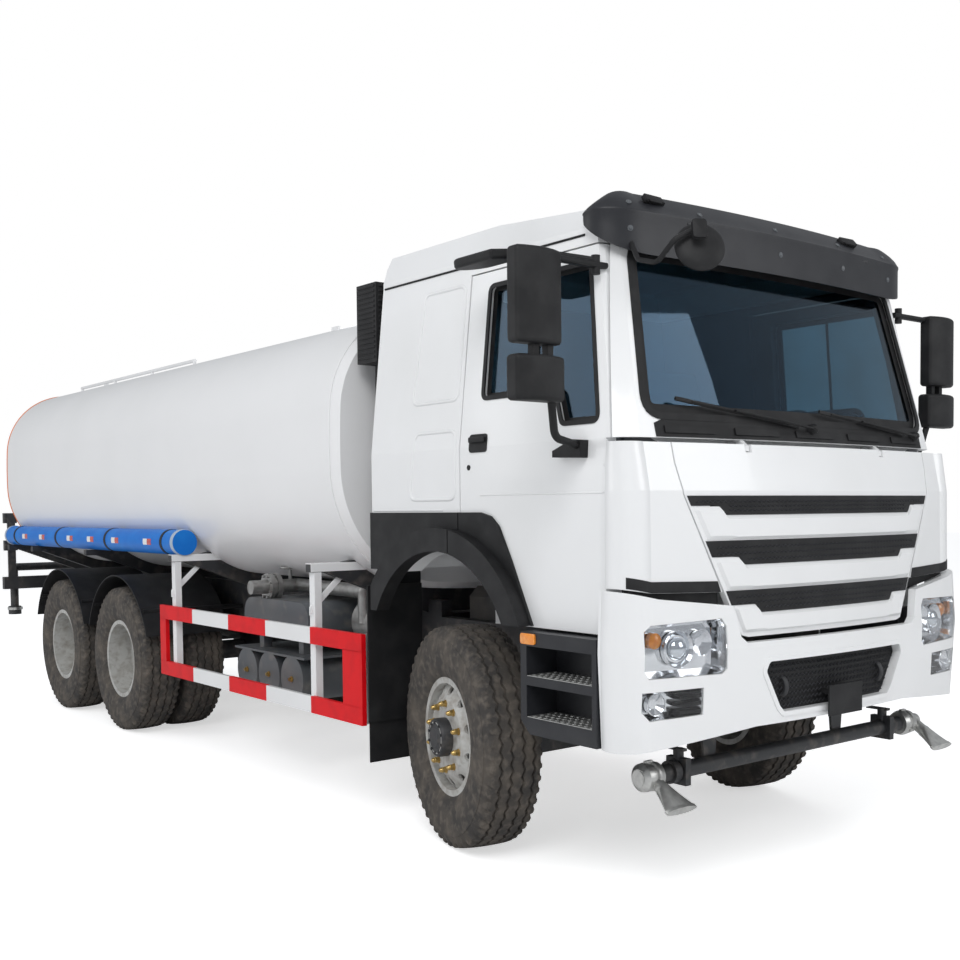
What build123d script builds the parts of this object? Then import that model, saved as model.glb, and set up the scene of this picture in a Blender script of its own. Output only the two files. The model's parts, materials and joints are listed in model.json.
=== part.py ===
from build123d import *
import os
from math import cos, radians, sin

os.makedirs("parts", exist_ok=True)

# Tanker truck, 6x4, cab over engine. Millimetres, +Z up, the front looks along -Y,
# the truck's right side is -X. Origin on the ground under the middle of the truck.

# ---------------------------------------------------------------- driving sizes
front_overhang = 1520.0      # bumper to front axle
front_wheelbase = 4325.0     # front axle to first rear axle
bogie_spacing = 1350.0       # first to second rear axle
rear_overhang = 1985.0       # last axle to the end of the rear pipe
overall_length = front_overhang + front_wheelbase + bogie_spacing + rear_overhang
front_axle_y = -overall_length / 2 + front_overhang
first_axle_y = front_axle_y + front_wheelbase
last_axle_y = first_axle_y + bogie_spacing
bogie_y = first_axle_y + bogie_spacing / 2
rear_end_y = overall_length / 2

body_half_width = 1245.0     # bumper, steps and side guards
seat_gap = 0.3               # pieces that sit on each other
fit_gap = 0.3                # radial, pins and shafts in bores
panel_gap = 8.0              # around doors and flaps

# wheels
tyre_r = 561.0
tyre_half = 157.5
rim_seat_r = 286.0
front_track_half = 1011.0
rear_track_half = 915.0
twin_half = 175.0
spindle_r = 45.0
drum_r = 205.0
steer_rest = -12.6           # degrees, wheels turned to the truck's right

# kingpins and steering linkage
kingpin_x = 860.0
kingpin_r = 25.0
beam_eye_h = 110.0
steer_arm = 250.0
tie_rod_drop = 105.0
ball_r = 15.0

# frame
rail_outer = 430.0
rail_top = 1050.0
rail_h = 280.0
rail_flange = 85.0
rail_t = 12.0
rail_front_y = front_axle_y - 1200.0
rail_rear_y = rear_end_y - 200.0
rail_bottom = rail_top - rail_h
subframe_h = 100.0
subframe_w = 80.0

# cab
sill_z = 1170.0
belt_z = 2000.0
gutter_z = 2890.0
cab_floor_z = 1500.0
cab_floor_t = 60.0
cab_rear_sill_z = 1385.0
cab_half = 1160.0
cab_half_top = 1068.0
cab_rear_y = front_axle_y + 690.0
cab_wall = 90.0
door_depth = cab_wall + 2
glass_t = 8.0
arch_r = 600.0
arch_z = 900.0
door_front_y = front_axle_y - 1180.0
door_front_top_y = front_axle_y - 1035.0
door_rear_y = front_axle_y - 120.0
door_top_z = 2835.0
door_hinge_x = cab_half + 6.0
hinge_heights = (1440.0, 1880.0)
hinge_t = 12.0
hinge_pin_r = 4.0
flap_top_z = 1980.0
flap_hinge_y = front_axle_y - 1342
flap_hinge_z = 1962.0

# tank
tank_half = 1200.0
tank_half_h = 830.0
tank_z = 2050.0
tank_front_y = front_axle_y + 1010.0
tank_rear_y = front_axle_y + 7320.0
tank_side_bow = 60.0
tank_top_bow = 90.0
tank_corner_r = 600.0
tank_foot_r = 715.0
tube_x = 1150.0
tube_z = 1485.0
tube_r = 90.0
tube_front_y = front_axle_y + 3200.0
tube_rear_y = front_axle_y + 7260.0

sides = (("right", -1), ("left", 1))


def steered(x, z, side):
    """Plane at a point of a front wheel's axle line, x outward, turned with the wheel."""
    turn = radians(steer_rest)
    pin = Vector(side * kingpin_x, front_axle_y, z)
    out = Vector(side * cos(turn), side * sin(turn), 0)
    return Plane(origin=pin + out * (x - kingpin_x), x_dir=out, z_dir=out.cross(Vector(0, 0, 1)))


def straight(x, y, side):
    """Plane through a rear wheel's centre, x outward and y up."""
    out = Vector(side, 0, 0)
    return Plane(origin=(side * x, y, tyre_r), x_dir=out, z_dir=out.cross(Vector(0, 0, 1)))


def save(part, label):
    part.label = label
    export_step(part, f"parts/{label}.step")


# ---------------------------------------------------------------- wheels
# half outline of a tyre: distance from its middle, radius
tyre_outline = (
    (105, rim_seat_r + 0.5), (112, 330), (tyre_half, 420), (tyre_half, 455),
    (150, 525), (132, 554), (0, tyre_r),
)


def tyre(plane, offsets):
    with BuildPart() as made:
        for offset in offsets:
            with BuildSketch(plane) as section:
                with BuildLine():
                    half = [(offset + x, r) for x, r in tyre_outline]
                    other = [(offset - x, r) for x, r in reversed(tyre_outline[:-1])]
                    Polyline(*half, *other, close=True)
                make_face()
            revolve(axis=Axis(plane.origin, plane.x_dir))
    return made.part


def ring(plane, *outlines):
    """Revolved rings about a wheel's axle line, each from (outward, radius) points."""
    with BuildPart() as made:
        for points in outlines:
            with BuildSketch(plane):
                with BuildLine():
                    Polyline(*points, close=True)
                make_face()
            revolve(axis=Axis(plane.origin, plane.x_dir))
    return made.part


def rim(plane, offset, out):
    """Barrel with its flanges and a disc that reaches the mounting face."""
    seat = offset + out * 130
    barrel = [(offset - 122, 270), (offset - 122, 304), (offset - 113, 304), (offset - 113, rim_seat_r),
              (offset + 113, rim_seat_r), (offset + 113, 304), (offset + 122, 304), (offset + 122, 270)]
    disc = [(offset + out * 60, 271), (offset + out * 75, 271), (seat, 190), (seat, 95),
            (seat - out * 14, 95), (seat - out * 14, 184)]
    return ring(plane, barrel, disc)


for name, side in sides:
    hub = steered(front_track_half, tyre_r, side)
    front_tyre = tyre(hub, (0,))
    save(front_tyre, f"front_tyre_{name}")
    with BuildPart() as front_rim:
        add(rim(hub, 0, 1))
        add(ring(hub,
                 [(-40, spindle_r + fit_gap), (-40, 96), (178, 96), (190, 80), (190, 0),
                  (150, 0), (150, spindle_r + fit_gap)],
                 [(-115, drum_r - 15), (-115, drum_r), (-10, drum_r), (-10, 90), (-25, 90),
                  (-25, drum_r - 15)]))
        with Locations(Plane(origin=hub.origin + hub.x_dir * 95, x_dir=hub.y_dir, z_dir=hub.x_dir)):
            with PolarLocations(232, 10):
                Cylinder(24, 90, mode=Mode.SUBTRACT)
    save(front_rim.part, f"front_wheel_{name}")

for axle, axle_y in (("mid", first_axle_y), ("last", last_axle_y)):
    for name, side in sides:
        hub = straight(rear_track_half, axle_y, side)
        save(tyre(hub, (-twin_half, twin_half)), f"{axle}_tyres_{name}")
        with BuildPart() as twin_rims:
            add(rim(hub, twin_half, -1))
            add(rim(hub, -twin_half, 1))
            add(ring(hub,
                     [(-46, 90), (-46, 186), (46, 186), (46, 90)],
                     [(-240, spindle_r + fit_gap), (-240, 96), (120, 96), (135, 80), (135, 0),
                      (60, 0), (60, spindle_r + fit_gap)],
                     [(-290, drum_r - 15), (-290, drum_r), (-60, drum_r), (-60, 90),
                      (-75, 90), (-75, drum_r - 15)]))
            with Locations(Plane(origin=hub.origin, x_dir=hub.y_dir, z_dir=hub.x_dir)):
                with PolarLocations(222, 10):
                    Cylinder(22, 330, mode=Mode.SUBTRACT)
        save(twin_rims.part, f"{axle}_wheels_{name}")

# ---------------------------------------------------------------- front axle and steering
beam_w = 90.0
beam_z = 470.0
spring_x = rail_outer - 45.0
with BuildPart() as axle_beam:
    with BuildSketch(Plane.XZ.offset(-front_axle_y)):
        with BuildLine():
            Polyline((-kingpin_x, tyre_r - 50), (-kingpin_x + 105, tyre_r - 50), (-620, beam_z - 50),
                     (620, beam_z - 50), (kingpin_x - 105, tyre_r - 50), (kingpin_x, tyre_r - 50),
                     (kingpin_x, tyre_r + 50), (kingpin_x - 105, tyre_r + 50), (570, beam_z + 50),
                     (-570, beam_z + 50), (-kingpin_x + 105, tyre_r + 50), (-kingpin_x, tyre_r + 50), close=True)
        make_face()
    extrude(amount=beam_w / 2, both=True)
    with Locations((-kingpin_x, front_axle_y, tyre_r), (kingpin_x, front_axle_y, tyre_r)):
        Cylinder(50, beam_eye_h)
    with Locations((-kingpin_x, front_axle_y, tyre_r), (kingpin_x, front_axle_y, tyre_r)):
        Cylinder(kingpin_r + fit_gap, beam_eye_h, mode=Mode.SUBTRACT)
save(axle_beam.part, "front_axle_beam")

for name, side in sides:
    pin = steered(kingpin_x, tyre_r, side)
    flat = Plane(origin=pin.origin, x_dir=pin.x_dir, z_dir=(0, 0, 1))
    ear_gap = beam_eye_h / 2 + 1
    with BuildPart() as knuckle:
        with Locations(flat):
            Cylinder(kingpin_r, 2 * ear_gap + 60)
        for ear in (-1, 1):
            with BuildSketch(flat.offset(ear * (ear_gap + 15))):
                Circle(46)
                with Locations((46, 0)):
                    Rectangle(92, 80)
            extrude(amount=15, both=True)
        with BuildSketch(flat):
            with Locations((78, 0)):
                Rectangle(28, 100)
        extrude(amount=ear_gap + 30, both=True)
        spindle_end = front_track_half - kingpin_x + 140
        add(ring(pin, [(80, 0), (80, 60), (105, 60), (105, spindle_r), (spindle_end, spindle_r),
                       (spindle_end, 0)]))
    knuckle_body = knuckle.part
    with BuildPart() as knuckle_arm:
        add(knuckle_body)
        with BuildSketch(flat.offset(-(ear_gap + 30))):
            with Locations((0, steer_arm * side / 2)):
                Rectangle(44, steer_arm)
            Circle(30)
            with Locations((0, steer_arm * side)):
                Circle(22)
        extrude(amount=20)
        with BuildSketch(flat.offset(-(ear_gap + 30 + tie_rod_drop - 50))):
            with Locations((0, steer_arm * side)):
                Circle(ball_r)
        extrude(amount=tie_rod_drop - 50)
    save(knuckle_arm.part, f"knuckle_{name}")

turn = radians(steer_rest)
ball_shift = Vector(-steer_arm * sin(turn), steer_arm * cos(turn), 0)
tie_rod_z = tyre_r - beam_eye_h / 2 - 31 - tie_rod_drop + 65
ball_pins = [Vector(side * kingpin_x, front_axle_y, tie_rod_z) + ball_shift for side in (-1, 1)]
with BuildPart() as tie_rod:
    with Locations(Plane(origin=(ball_pins[0] + ball_pins[1]) / 2, z_dir=(1, 0, 0))):
        Cylinder(20, 2 * kingpin_x)
    with Locations(*ball_pins):
        Cylinder(28, 26)
    with Locations(*ball_pins):
        Cylinder(ball_r + fit_gap, 50, mode=Mode.SUBTRACT)
save(tie_rod.part, "tie_rod")

# ---------------------------------------------------------------- frame
cross_w = rail_outer - rail_t
# crossmembers: distance behind the front axle, height, depth along the truck
crossmembers = (
    (-1160, 160, 80), (1750, 180, 90), (2600, 180, 90), (3500, 180, 90),
    (first_axle_y - front_axle_y + bogie_spacing / 2, 200, 160), (6600, 180, 90), (7350, 220, 90),
)
with BuildPart() as frame_rails:
    rail_span = rail_rear_y - rail_front_y
    rail_mid_y = (rail_rear_y + rail_front_y) / 2
    for side in (-1, 1):
        with BuildSketch(Plane.XZ.offset(-rail_front_y)):
            with Locations((side * (rail_outer - rail_flange / 2), rail_top - rail_h / 2)):
                Rectangle(rail_flange, rail_h)
            with Locations((side * (rail_outer - rail_t - rail_flange / 2), rail_top - rail_h / 2)):
                Rectangle(rail_flange, rail_h - 2 * rail_t, mode=Mode.SUBTRACT)
        extrude(amount=-rail_span)
    for behind, height, depth in crossmembers:
        with Locations((0, front_axle_y + behind, rail_top - rail_h / 2)):
            Box(2 * cross_w, depth, height)

# leaf packs hung under the rails at the front, over the bogie at the rear
with BuildPart() as front_springs:
    for side in (-1, 1):
        with BuildSketch(Plane.YZ.offset(side * spring_x)):
            with BuildLine():
                low = beam_z + 50 + seat_gap
                ThreePointArc((front_axle_y - 780, low + 150), (front_axle_y, low), (front_axle_y + 780, low + 150))
                Line((front_axle_y + 780, low + 150), (front_axle_y + 780, low + 175))
                ThreePointArc((front_axle_y + 780, low + 175), (front_axle_y, low + 75),
                              (front_axle_y - 780, low + 175))
                Line((front_axle_y - 780, low + 175), (front_axle_y - 780, low + 150))
            make_face()
            with Locations((front_axle_y - 780, low + 165), (front_axle_y + 780, low + 165)):
                Circle(30)
            for end in (-1, 1):
                with Locations((front_axle_y + end * 780, (low + 165 + rail_bottom - seat_gap) / 2)):
                    Rectangle(60, rail_bottom - seat_gap - low - 165)
        extrude(amount=42, both=True)

bogie_spring_x = rail_outer + 65.0
spring_end_z = tyre_r + 105
trunnion_z = 510.0
with BuildPart() as bogie_springs:
    for side in (-1, 1):
        with BuildSketch(Plane.YZ.offset(side * bogie_spring_x)):
            with BuildLine():
                half = bogie_spacing / 2 + 60
                ThreePointArc((bogie_y - half, spring_end_z), (bogie_y, spring_end_z + 110),
                              (bogie_y + half, spring_end_z))
                Line((bogie_y + half, spring_end_z), (bogie_y + half, spring_end_z + 25))
                ThreePointArc((bogie_y + half, spring_end_z + 25), (bogie_y, spring_end_z + 260),
                              (bogie_y - half, spring_end_z + 25))
                Line((bogie_y - half, spring_end_z + 25), (bogie_y - half, spring_end_z))
            make_face()
        extrude(amount=45, both=True)
        with BuildSketch(Plane.YZ.offset(side * (rail_outer + seat_gap))):
            with Locations((bogie_y, trunnion_z)):
                Circle(90)
            with Locations((bogie_y, (trunnion_z + spring_end_z + 150) / 2)):
                Rectangle(180, spring_end_z + 150 - trunnion_z)
        extrude(amount=side * 110)
    with Locations(Plane(origin=(0, bogie_y, trunnion_z), z_dir=(1, 0, 0))):
        Cylinder(50, 2 * bogie_spring_x)
with BuildPart() as leaf_springs:
    add(front_springs.part)
    add(bogie_springs.part)
save(leaf_springs.part, "leaf_springs")

# rear axles with their drive housings, spindles and spring seats
input_z = tyre_r + 85.0
with BuildPart() as rear_axles:
    for axle_y in (first_axle_y, last_axle_y):
        centre = Vector(0, axle_y, tyre_r)
        with Locations(Plane(origin=centre, z_dir=(1, 0, 0))):
            Cylinder(75, 2 * (rear_track_half - 300))
            Cylinder(spindle_r, 2 * (rear_track_half + 50))
        with Locations(centre):
            Sphere(205)
        with Locations(Plane(origin=(0, axle_y, input_z), z_dir=(0, 1, 0))):
            Cylinder(75, 520)
        for side in (-1, 1):
            with BuildSketch(Plane.XY.offset(tyre_r)):
                with Locations((side * bogie_spring_x, axle_y)):
                    Rectangle(90, 120)
            extrude(amount=spring_end_z - tyre_r + 5)
    for side in (-1, 1):
        with BuildSketch(Plane.YZ.offset(side * bogie_spring_x)):
            with BuildLine():
                half = bogie_spacing / 2 + 61
                seat_z = spring_end_z - 1.1 * seat_gap
                ThreePointArc((bogie_y - half, seat_z), (bogie_y, seat_z + 110), (bogie_y + half, seat_z))
                Polyline((bogie_y + half, seat_z), (bogie_y + half, seat_z + 400), (bogie_y - half, seat_z + 400),
                         (bogie_y - half, seat_z))
            make_face()
        extrude(amount=60, both=True, mode=Mode.SUBTRACT)
save(rear_axles.part, "rear_axles")

# engine, gearbox and cooling pack as plain blocks in their places
engine_rear_y = front_axle_y + 950
gearbox_rear_y = front_axle_y + 1640
with BuildPart() as engine:
    with BuildSketch(Plane.XY.offset(640)):
        with Locations((0, (front_axle_y - 980 + engine_rear_y) / 2)):
            Rectangle(640, engine_rear_y - front_axle_y + 980)
    extrude(amount=600)
    chamfer(engine.edges().filter_by(Axis.Y), 60)
    with BuildSketch(Plane.XZ.offset(-engine_rear_y)):
        with Locations((0, 700)):
            Circle(210)
    extrude(amount=-(gearbox_rear_y - engine_rear_y))
    for behind in (-500, 500):
        with Locations((0, front_axle_y + behind, rail_top - rail_h / 2)):
            Box(2 * (cross_w - seat_gap), 120, 80)

radiator_y = front_axle_y - 1160 + 40 + seat_gap
with BuildPart() as radiator:
    with BuildSketch(Plane.XZ.offset(-radiator_y)):
        with Locations((0, 980)):
            Rectangle(660, 480)
    extrude(amount=-90)
with BuildPart() as power_pack:
    add(engine.part)
    add(radiator.part)
save(power_pack.part, "engine")

# propeller shafts with their universal joints
shaft_runs = (
    (gearbox_rear_y + seat_gap, first_axle_y - 260 - seat_gap),
    (first_axle_y + 260 + seat_gap, last_axle_y - 260 - seat_gap),
)
with BuildPart() as drive_shafts:
    for front_y, back_y in shaft_runs:
        with BuildSketch(Plane.XZ.offset(-front_y)):
            with Locations((0, input_z)):
                Circle(55)
        extrude(amount=-(back_y - front_y))
        for end_y, way in ((front_y, 1), (back_y, -1)):
            with BuildSketch(Plane.XZ.offset(-end_y)):
                with Locations((0, input_z)):
                    Circle(80)
            extrude(amount=-way * 25)
save(drive_shafts.part, "drive_shafts")

# ---------------------------------------------------------------- tank
def tank_body(grow):
    """The tank's shell with its coned ends, grown by grow from its true face."""
    with BuildPart() as made:
        with BuildSketch(Plane.XZ.offset(-tank_front_y + grow)) as section:
            with BuildLine():
                half = tank_half + grow
                half_h = tank_half_h + grow
                x = half - tank_side_bow
                z = half_h - tank_top_bow
                ThreePointArc((-x, tank_z + z), (0, tank_z + half_h), (x, tank_z + z))
                ThreePointArc((x, tank_z + z), (half, tank_z), (x, tank_z - z))
                ThreePointArc((x, tank_z - z), (0, tank_z - half_h), (-x, tank_z - z))
                ThreePointArc((-x, tank_z - z), (-half, tank_z), (-x, tank_z + z))
            make_face()
            fillet(section.vertices().group_by(Axis.Y)[-1], tank_corner_r)
            fillet(section.vertices().group_by(Axis.Y)[0], tank_foot_r)
        extrude(amount=-(tank_rear_y - tank_front_y + 2 * grow))
    return made.part


with BuildPart() as tank:
    add(tank_body(0))
    chamfer(tank.faces().filter_by(Axis.Y).edges(), 60, 35)
save(tank.part, "tank")
tank_space = tank_body(seat_gap)

# cross bearers: middle under the tank and out to the tubes and side guards
subframe_top = rail_top + subframe_h
bearer_tip_x = body_half_width - 5
bearer_top = tube_z - tube_r - seat_gap
bearers = (1260, 3250, 5000, 6420, 7150)
with BuildPart() as tank_cradle:
    for side in (-1, 1):
        with BuildSketch(Plane.XY.offset(rail_top + seat_gap)):
            with Locations((side * (rail_outer - subframe_w / 2), (tank_front_y + tank_rear_y) / 2)):
                Rectangle(subframe_w, tank_rear_y - tank_front_y - 160)
        extrude(amount=subframe_h)
    for behind in bearers:
        with BuildSketch(Plane.XZ.offset(-front_axle_y - behind - 30)):
            with BuildLine():
                Polyline((-bearer_tip_x, bearer_top - 45), (-bearer_tip_x + 90, bearer_top - 45),
                         (-rail_outer, rail_top + 20), (rail_outer, rail_top + 20),
                         (bearer_tip_x - 90, bearer_top - 45), (bearer_tip_x, bearer_top - 45),
                         (bearer_tip_x, bearer_top), (bearer_tip_x - 180, bearer_top),
                         (800, bearer_top + 40), (-800, bearer_top + 40), (-bearer_tip_x + 180, bearer_top),
                         (-bearer_tip_x, bearer_top), close=True)
            make_face()
        extrude(amount=60)
    add(tank_space, mode=Mode.SUBTRACT)
save(tank_cradle.part, "tank_cradle")

# ---------------------------------------------------------------- cab shell
# cab blocks, lower and upper section of each:
# height, half width, side front y, corner x and y, middle front y (from the axle)
gutter_section = (gutter_z, cab_half_top, -1010, 985, -1050, -1095)
cab_blocks = (
    ((sill_z, cab_half, -1150, 1060, -1190, -1240), (belt_z, cab_half, -1150, 1060, -1205, -1260)),
    ((belt_z, cab_half, -1185, 1070, -1262, -1345), gutter_section),
)


def cab_volume(inset):
    """Closed volume of the cab up to the gutter, inset from its outer faces."""
    with BuildPart() as made:
        for block in cab_blocks:
            for z, half, side_y, corner_x, corner_y, front_y in block:
                with BuildSketch(Plane.XY.offset(z)):
                    with BuildLine():
                        side_x = half - inset
                        corner_x -= inset / 2
                        rear = cab_rear_y - inset
                        side_at = front_axle_y + side_y + inset / 2
                        corner_at = front_axle_y + corner_y + inset
                        front_at = front_axle_y + front_y + inset
                        Polyline((-corner_x, corner_at), (-side_x, side_at), (-side_x, rear),
                                 (side_x, rear), (side_x, side_at), (corner_x, corner_at))
                        ThreePointArc((corner_x, corner_at), (0, front_at), (-corner_x, corner_at))
                    make_face()
            loft(ruled=True)
    return made.part


def door_outline(grow):
    """Door as seen from the side, grown by grow, with the wheel arch cut from it."""
    with BuildSketch(Plane.YZ) as outline:
        with BuildLine():
            Polyline((door_front_y - grow, sill_z - 50), (door_front_y - grow, belt_z),
                     (door_front_top_y - grow, door_top_z + grow), (door_rear_y + grow, door_top_z + grow),
                     (door_rear_y + grow, sill_z - 50), close=True)
        make_face()
    return outline.sketch_local


def side_slab(side, depth):
    """Block along one side of the cab, from the depth inside its skin outwards."""
    with BuildPart() as made:
        with BuildSketch(Plane.XZ):
            with BuildLine():
                Polyline((side * (cab_half - depth), sill_z - 60), (side * (cab_half - depth), belt_z),
                         (side * (cab_half_top - depth), gutter_z), (side * 1400, gutter_z),
                         (side * 1400, sill_z - 60), close=True)
            make_face()
        extrude(amount=5000, both=True)
        with BuildSketch(Plane.YZ):
            add(door_outline(max(depth - door_depth, 0)))
        extrude(amount=1500, both=True, mode=Mode.INTERSECT)
    return made.part


def hinge_leaf(side, outline, eye_r, z):
    """Plate of a door hinge with its eye on the axis; the outline is x and y from the axle."""
    with BuildPart() as made:
        with BuildSketch(Plane.XY.offset(z)):
            with BuildLine():
                Polyline(*[(side * x, front_axle_y + y) for x, y in outline], close=True)
            make_face()
            with Locations((side * door_hinge_x, door_front_y)):
                Circle(eye_r)
        extrude(amount=hinge_t)
    return made.part


def side_window(grow):
    """Door window opening as seen from the side."""
    with BuildSketch(Plane.YZ) as outline:
        with BuildLine():
            Polyline((front_axle_y - 1105, 2070), (front_axle_y - 985, 2770), (front_axle_y - 270, 2770),
                     (front_axle_y - 270, 2225), (front_axle_y - 800, 2225), (front_axle_y - 860, 2070), close=True)
        make_face()
        fillet(outline.vertices(), 40)
        offset(amount=grow)
    return outline.sketch_local


def windscreen_outline(grow):
    """Windscreen as seen from the front."""
    with BuildSketch(Plane.XZ) as outline:
        with BuildLine():
            Polyline((-1030, 2090), (-945, 2840), (945, 2840), (1030, 2090), close=True)
        make_face()
        fillet(outline.vertices(), 90)
        offset(amount=grow)
    return outline.sketch_local


def wall_between(outer, inner):
    """The skin between two insets of the cab volume."""
    with BuildPart() as made:
        add(cab_volume(outer))
        add(cab_volume(inner), mode=Mode.SUBTRACT)
    return made.part


with BuildPart() as cab_walls:
    add(wall_between(0, cab_wall))
    with Locations(Plane(origin=(0, front_axle_y, arch_z), z_dir=(1, 0, 0))):
        Cylinder(arch_r, 3000, mode=Mode.SUBTRACT)
    with Locations((0, cab_rear_y, cab_rear_sill_z)):
        Box(3000, 2 * (cab_rear_y - front_axle_y - 200), 2000, align=(Align.CENTER, Align.CENTER, Align.MAX),
            mode=Mode.SUBTRACT)
cab_wall_part = cab_walls.part

with BuildPart() as cab_body:
    add(cab_wall_part)
    for side in (-1, 1):
        add(side_slab(side, door_depth + panel_gap), mode=Mode.SUBTRACT)
    with BuildSketch(Plane.XZ.offset(-front_axle_y + 700)):
        add(windscreen_outline(0))
    extrude(amount=900, mode=Mode.SUBTRACT)
with BuildPart() as cab_floor:
    add(cab_volume(cab_wall))
    split(bisect_by=Plane.XY.offset(cab_floor_z), keep=Keep.TOP)
    split(bisect_by=Plane.XY.offset(cab_floor_z + cab_floor_t), keep=Keep.BOTTOM)
    with Locations((0, front_axle_y, cab_floor_z)):
        Box(2 * (cab_half - cab_wall - panel_gap), 3000, 400, mode=Mode.INTERSECT)
with BuildPart() as cab_frame:
    add(cab_body.part)
    add(cab_floor.part)
    # legs that carry the cab on the frame
    for side in (-1, 1):
        for behind in (-1000, 500):
            with BuildSketch(Plane.XY.offset(rail_top + seat_gap)):
                with Locations((side * (rail_outer - 40), front_axle_y + behind)):
                    Rectangle(80, 110)
            extrude(amount=cab_floor_z + 10 - rail_top)
    # lower leaves of the door hinges with their pins
    for side in (-1, 1):
        for z in hinge_heights:
            add(hinge_leaf(side, ((1030, -1200), (1150, -1206), (1171, -1188), (1160, -1178), (1085, -1187),
                                  (1030, -1187)), 8, z - hinge_t))
            with Locations((side * door_hinge_x, door_front_y, z - hinge_t / 2)):
                Cylinder(hinge_pin_r, 2 * hinge_t, align=(Align.CENTER, Align.CENTER, Align.MIN))
    # hinge ears of the front flap
    for ear_x in (-500, 500):
        with BuildSketch(Plane.YZ.offset(ear_x)):
            with BuildLine():
                Polyline((front_axle_y - 1200, belt_z), (front_axle_y - 1200, belt_z - 45),
                         (flap_hinge_y - 12, flap_hinge_z - 12), (flap_hinge_y - 12, flap_hinge_z + 12),
                         (flap_hinge_y + 20, belt_z), close=True)
            make_face()
        extrude(amount=12, both=True)
        with Locations(Plane(origin=(ear_x, flap_hinge_y, flap_hinge_z), z_dir=(1, 0, 0))):
            Cylinder(6, 70)
save(cab_frame.part, "cab_body")

door_length = door_rear_y - door_front_y
for name, side in sides:
    with BuildPart() as door:
        add(cab_wall_part)
        add(side_slab(side, door_depth), mode=Mode.INTERSECT)
        with Locations((side * door_hinge_x, door_front_y, 2000)):
            Cylinder(door_length, 3000, mode=Mode.INTERSECT)
        with BuildSketch(Plane.YZ.offset(side * 900)):
            add(side_window(0))
        extrude(amount=side * 400, mode=Mode.SUBTRACT)
        for z in hinge_heights:
            add(hinge_leaf(side, ((1161, -1184), (1172, -1176), (1158, -1130), (1120, -1145)), 7, z + seat_gap))
            with Locations((side * door_hinge_x, door_front_y, z)):
                Cylinder(hinge_pin_r + fit_gap, 4 * hinge_t, mode=Mode.SUBTRACT)
    save(door.part, f"door_{name}")
    with BuildPart() as door_glass:
        add(wall_between(30, 30 + glass_t))
        with BuildSketch(Plane.YZ.offset(side * 900)):
            add(side_window(-seat_gap))
        extrude(amount=side * 400, mode=Mode.INTERSECT)
    save(door_glass.part, f"door_glass_{name}")

with BuildPart() as windscreen:
    add(wall_between(20, 20 + glass_t))
    with BuildSketch(Plane.XZ.offset(-front_axle_y + 700)):
        add(windscreen_outline(-seat_gap))
    extrude(amount=900, mode=Mode.INTERSECT)
save(windscreen.part, "windscreen")


def roof_volume(inset):
    """Raised roof above the gutter, inset from its outer faces."""
    z, half, side_y, corner_x, corner_y, front_y = gutter_section
    with BuildPart() as made:
        with BuildSketch(Plane.XY.offset(gutter_z + seat_gap)):
            with BuildLine():
                Polyline((-corner_x + inset, front_axle_y + corner_y + inset), (-half + inset, front_axle_y + side_y),
                         (-half + inset, cab_rear_y - inset), (half - inset, cab_rear_y - inset),
                         (half - inset, front_axle_y + side_y), (corner_x - inset, front_axle_y + corner_y + inset))
                ThreePointArc((corner_x - inset, front_axle_y + corner_y + inset),
                              (0, front_axle_y + front_y + inset),
                              (-corner_x + inset, front_axle_y + corner_y + inset))
            make_face()
        extrude(amount=300)
        with BuildSketch(Plane.YZ) as side_view:
            with BuildLine():
                Polyline((front_axle_y - 1200, gutter_z), (front_axle_y - 1050, gutter_z + 60 - inset),
                         (front_axle_y - 930, gutter_z + 112 - inset), (front_axle_y + 300, gutter_z + 220 - inset),
                         (cab_rear_y - 40, gutter_z + 215 - inset), (cab_rear_y, gutter_z + 110 - inset),
                         (cab_rear_y, gutter_z), close=True)
            make_face()
        extrude(amount=1500, both=True, mode=Mode.INTERSECT)
        with BuildSketch(Plane.XZ) as front_view:
            with BuildLine():
                Polyline((-half, gutter_z), (-half + inset, gutter_z + 30), (-half + 45 + inset, gutter_z + 170),
                         (-half + 230, gutter_z + 225), (half - 230, gutter_z + 225),
                         (half - 45 - inset, gutter_z + 170), (half - inset, gutter_z + 30), (half, gutter_z),
                         close=True)
            make_face()
        extrude(amount=8000, both=True, mode=Mode.INTERSECT)
    return made.part


with BuildPart() as cab_roof:
    add(roof_volume(0))
    add(roof_volume(30), mode=Mode.SUBTRACT)
save(cab_roof.part, "cab_roof")

# ---------------------------------------------------------------- nose: flap, grille, corners
# nose sections: height, half width, side y, corner x and y, middle front y (from the axle)
nose_sections = (
    (1140, 1205, -1190, 1080, -1340, -1440),
    (1777, 1205, -1190, 1080, -1330, -1425),
    (1980, 1195, -1190, 1080, -1290, -1375),
)
nose_t = 30.0


def bowed_plan(z, section, inset, back_y):
    """Face at the height z with straight sides, rounded corners and a bowed front."""
    half, side_y, corner_x, corner_y, front_y = section
    half -= inset
    side_at = front_axle_y + side_y
    corner = (corner_x - inset / 2, front_axle_y + corner_y + inset)
    with BuildSketch(Plane.XY.offset(z)) as plan:
        with BuildLine():
            Polyline((-half, side_at), (-half, back_y), (half, back_y), (half, side_at))
            bulge = 0.35 * (corner_x + inset / 2 - half)
            mid = ((half + corner[0]) / 2 - bulge, (side_at + corner[1]) / 2 + bulge)
            ThreePointArc((half, side_at), mid, corner)
            ThreePointArc(corner, (0, front_axle_y + front_y + inset), (-corner[0], corner[1]))
            ThreePointArc((-corner[0], corner[1]), (-mid[0], mid[1]), (-half, side_at))
        make_face()
    return plan.sketch_local


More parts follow.
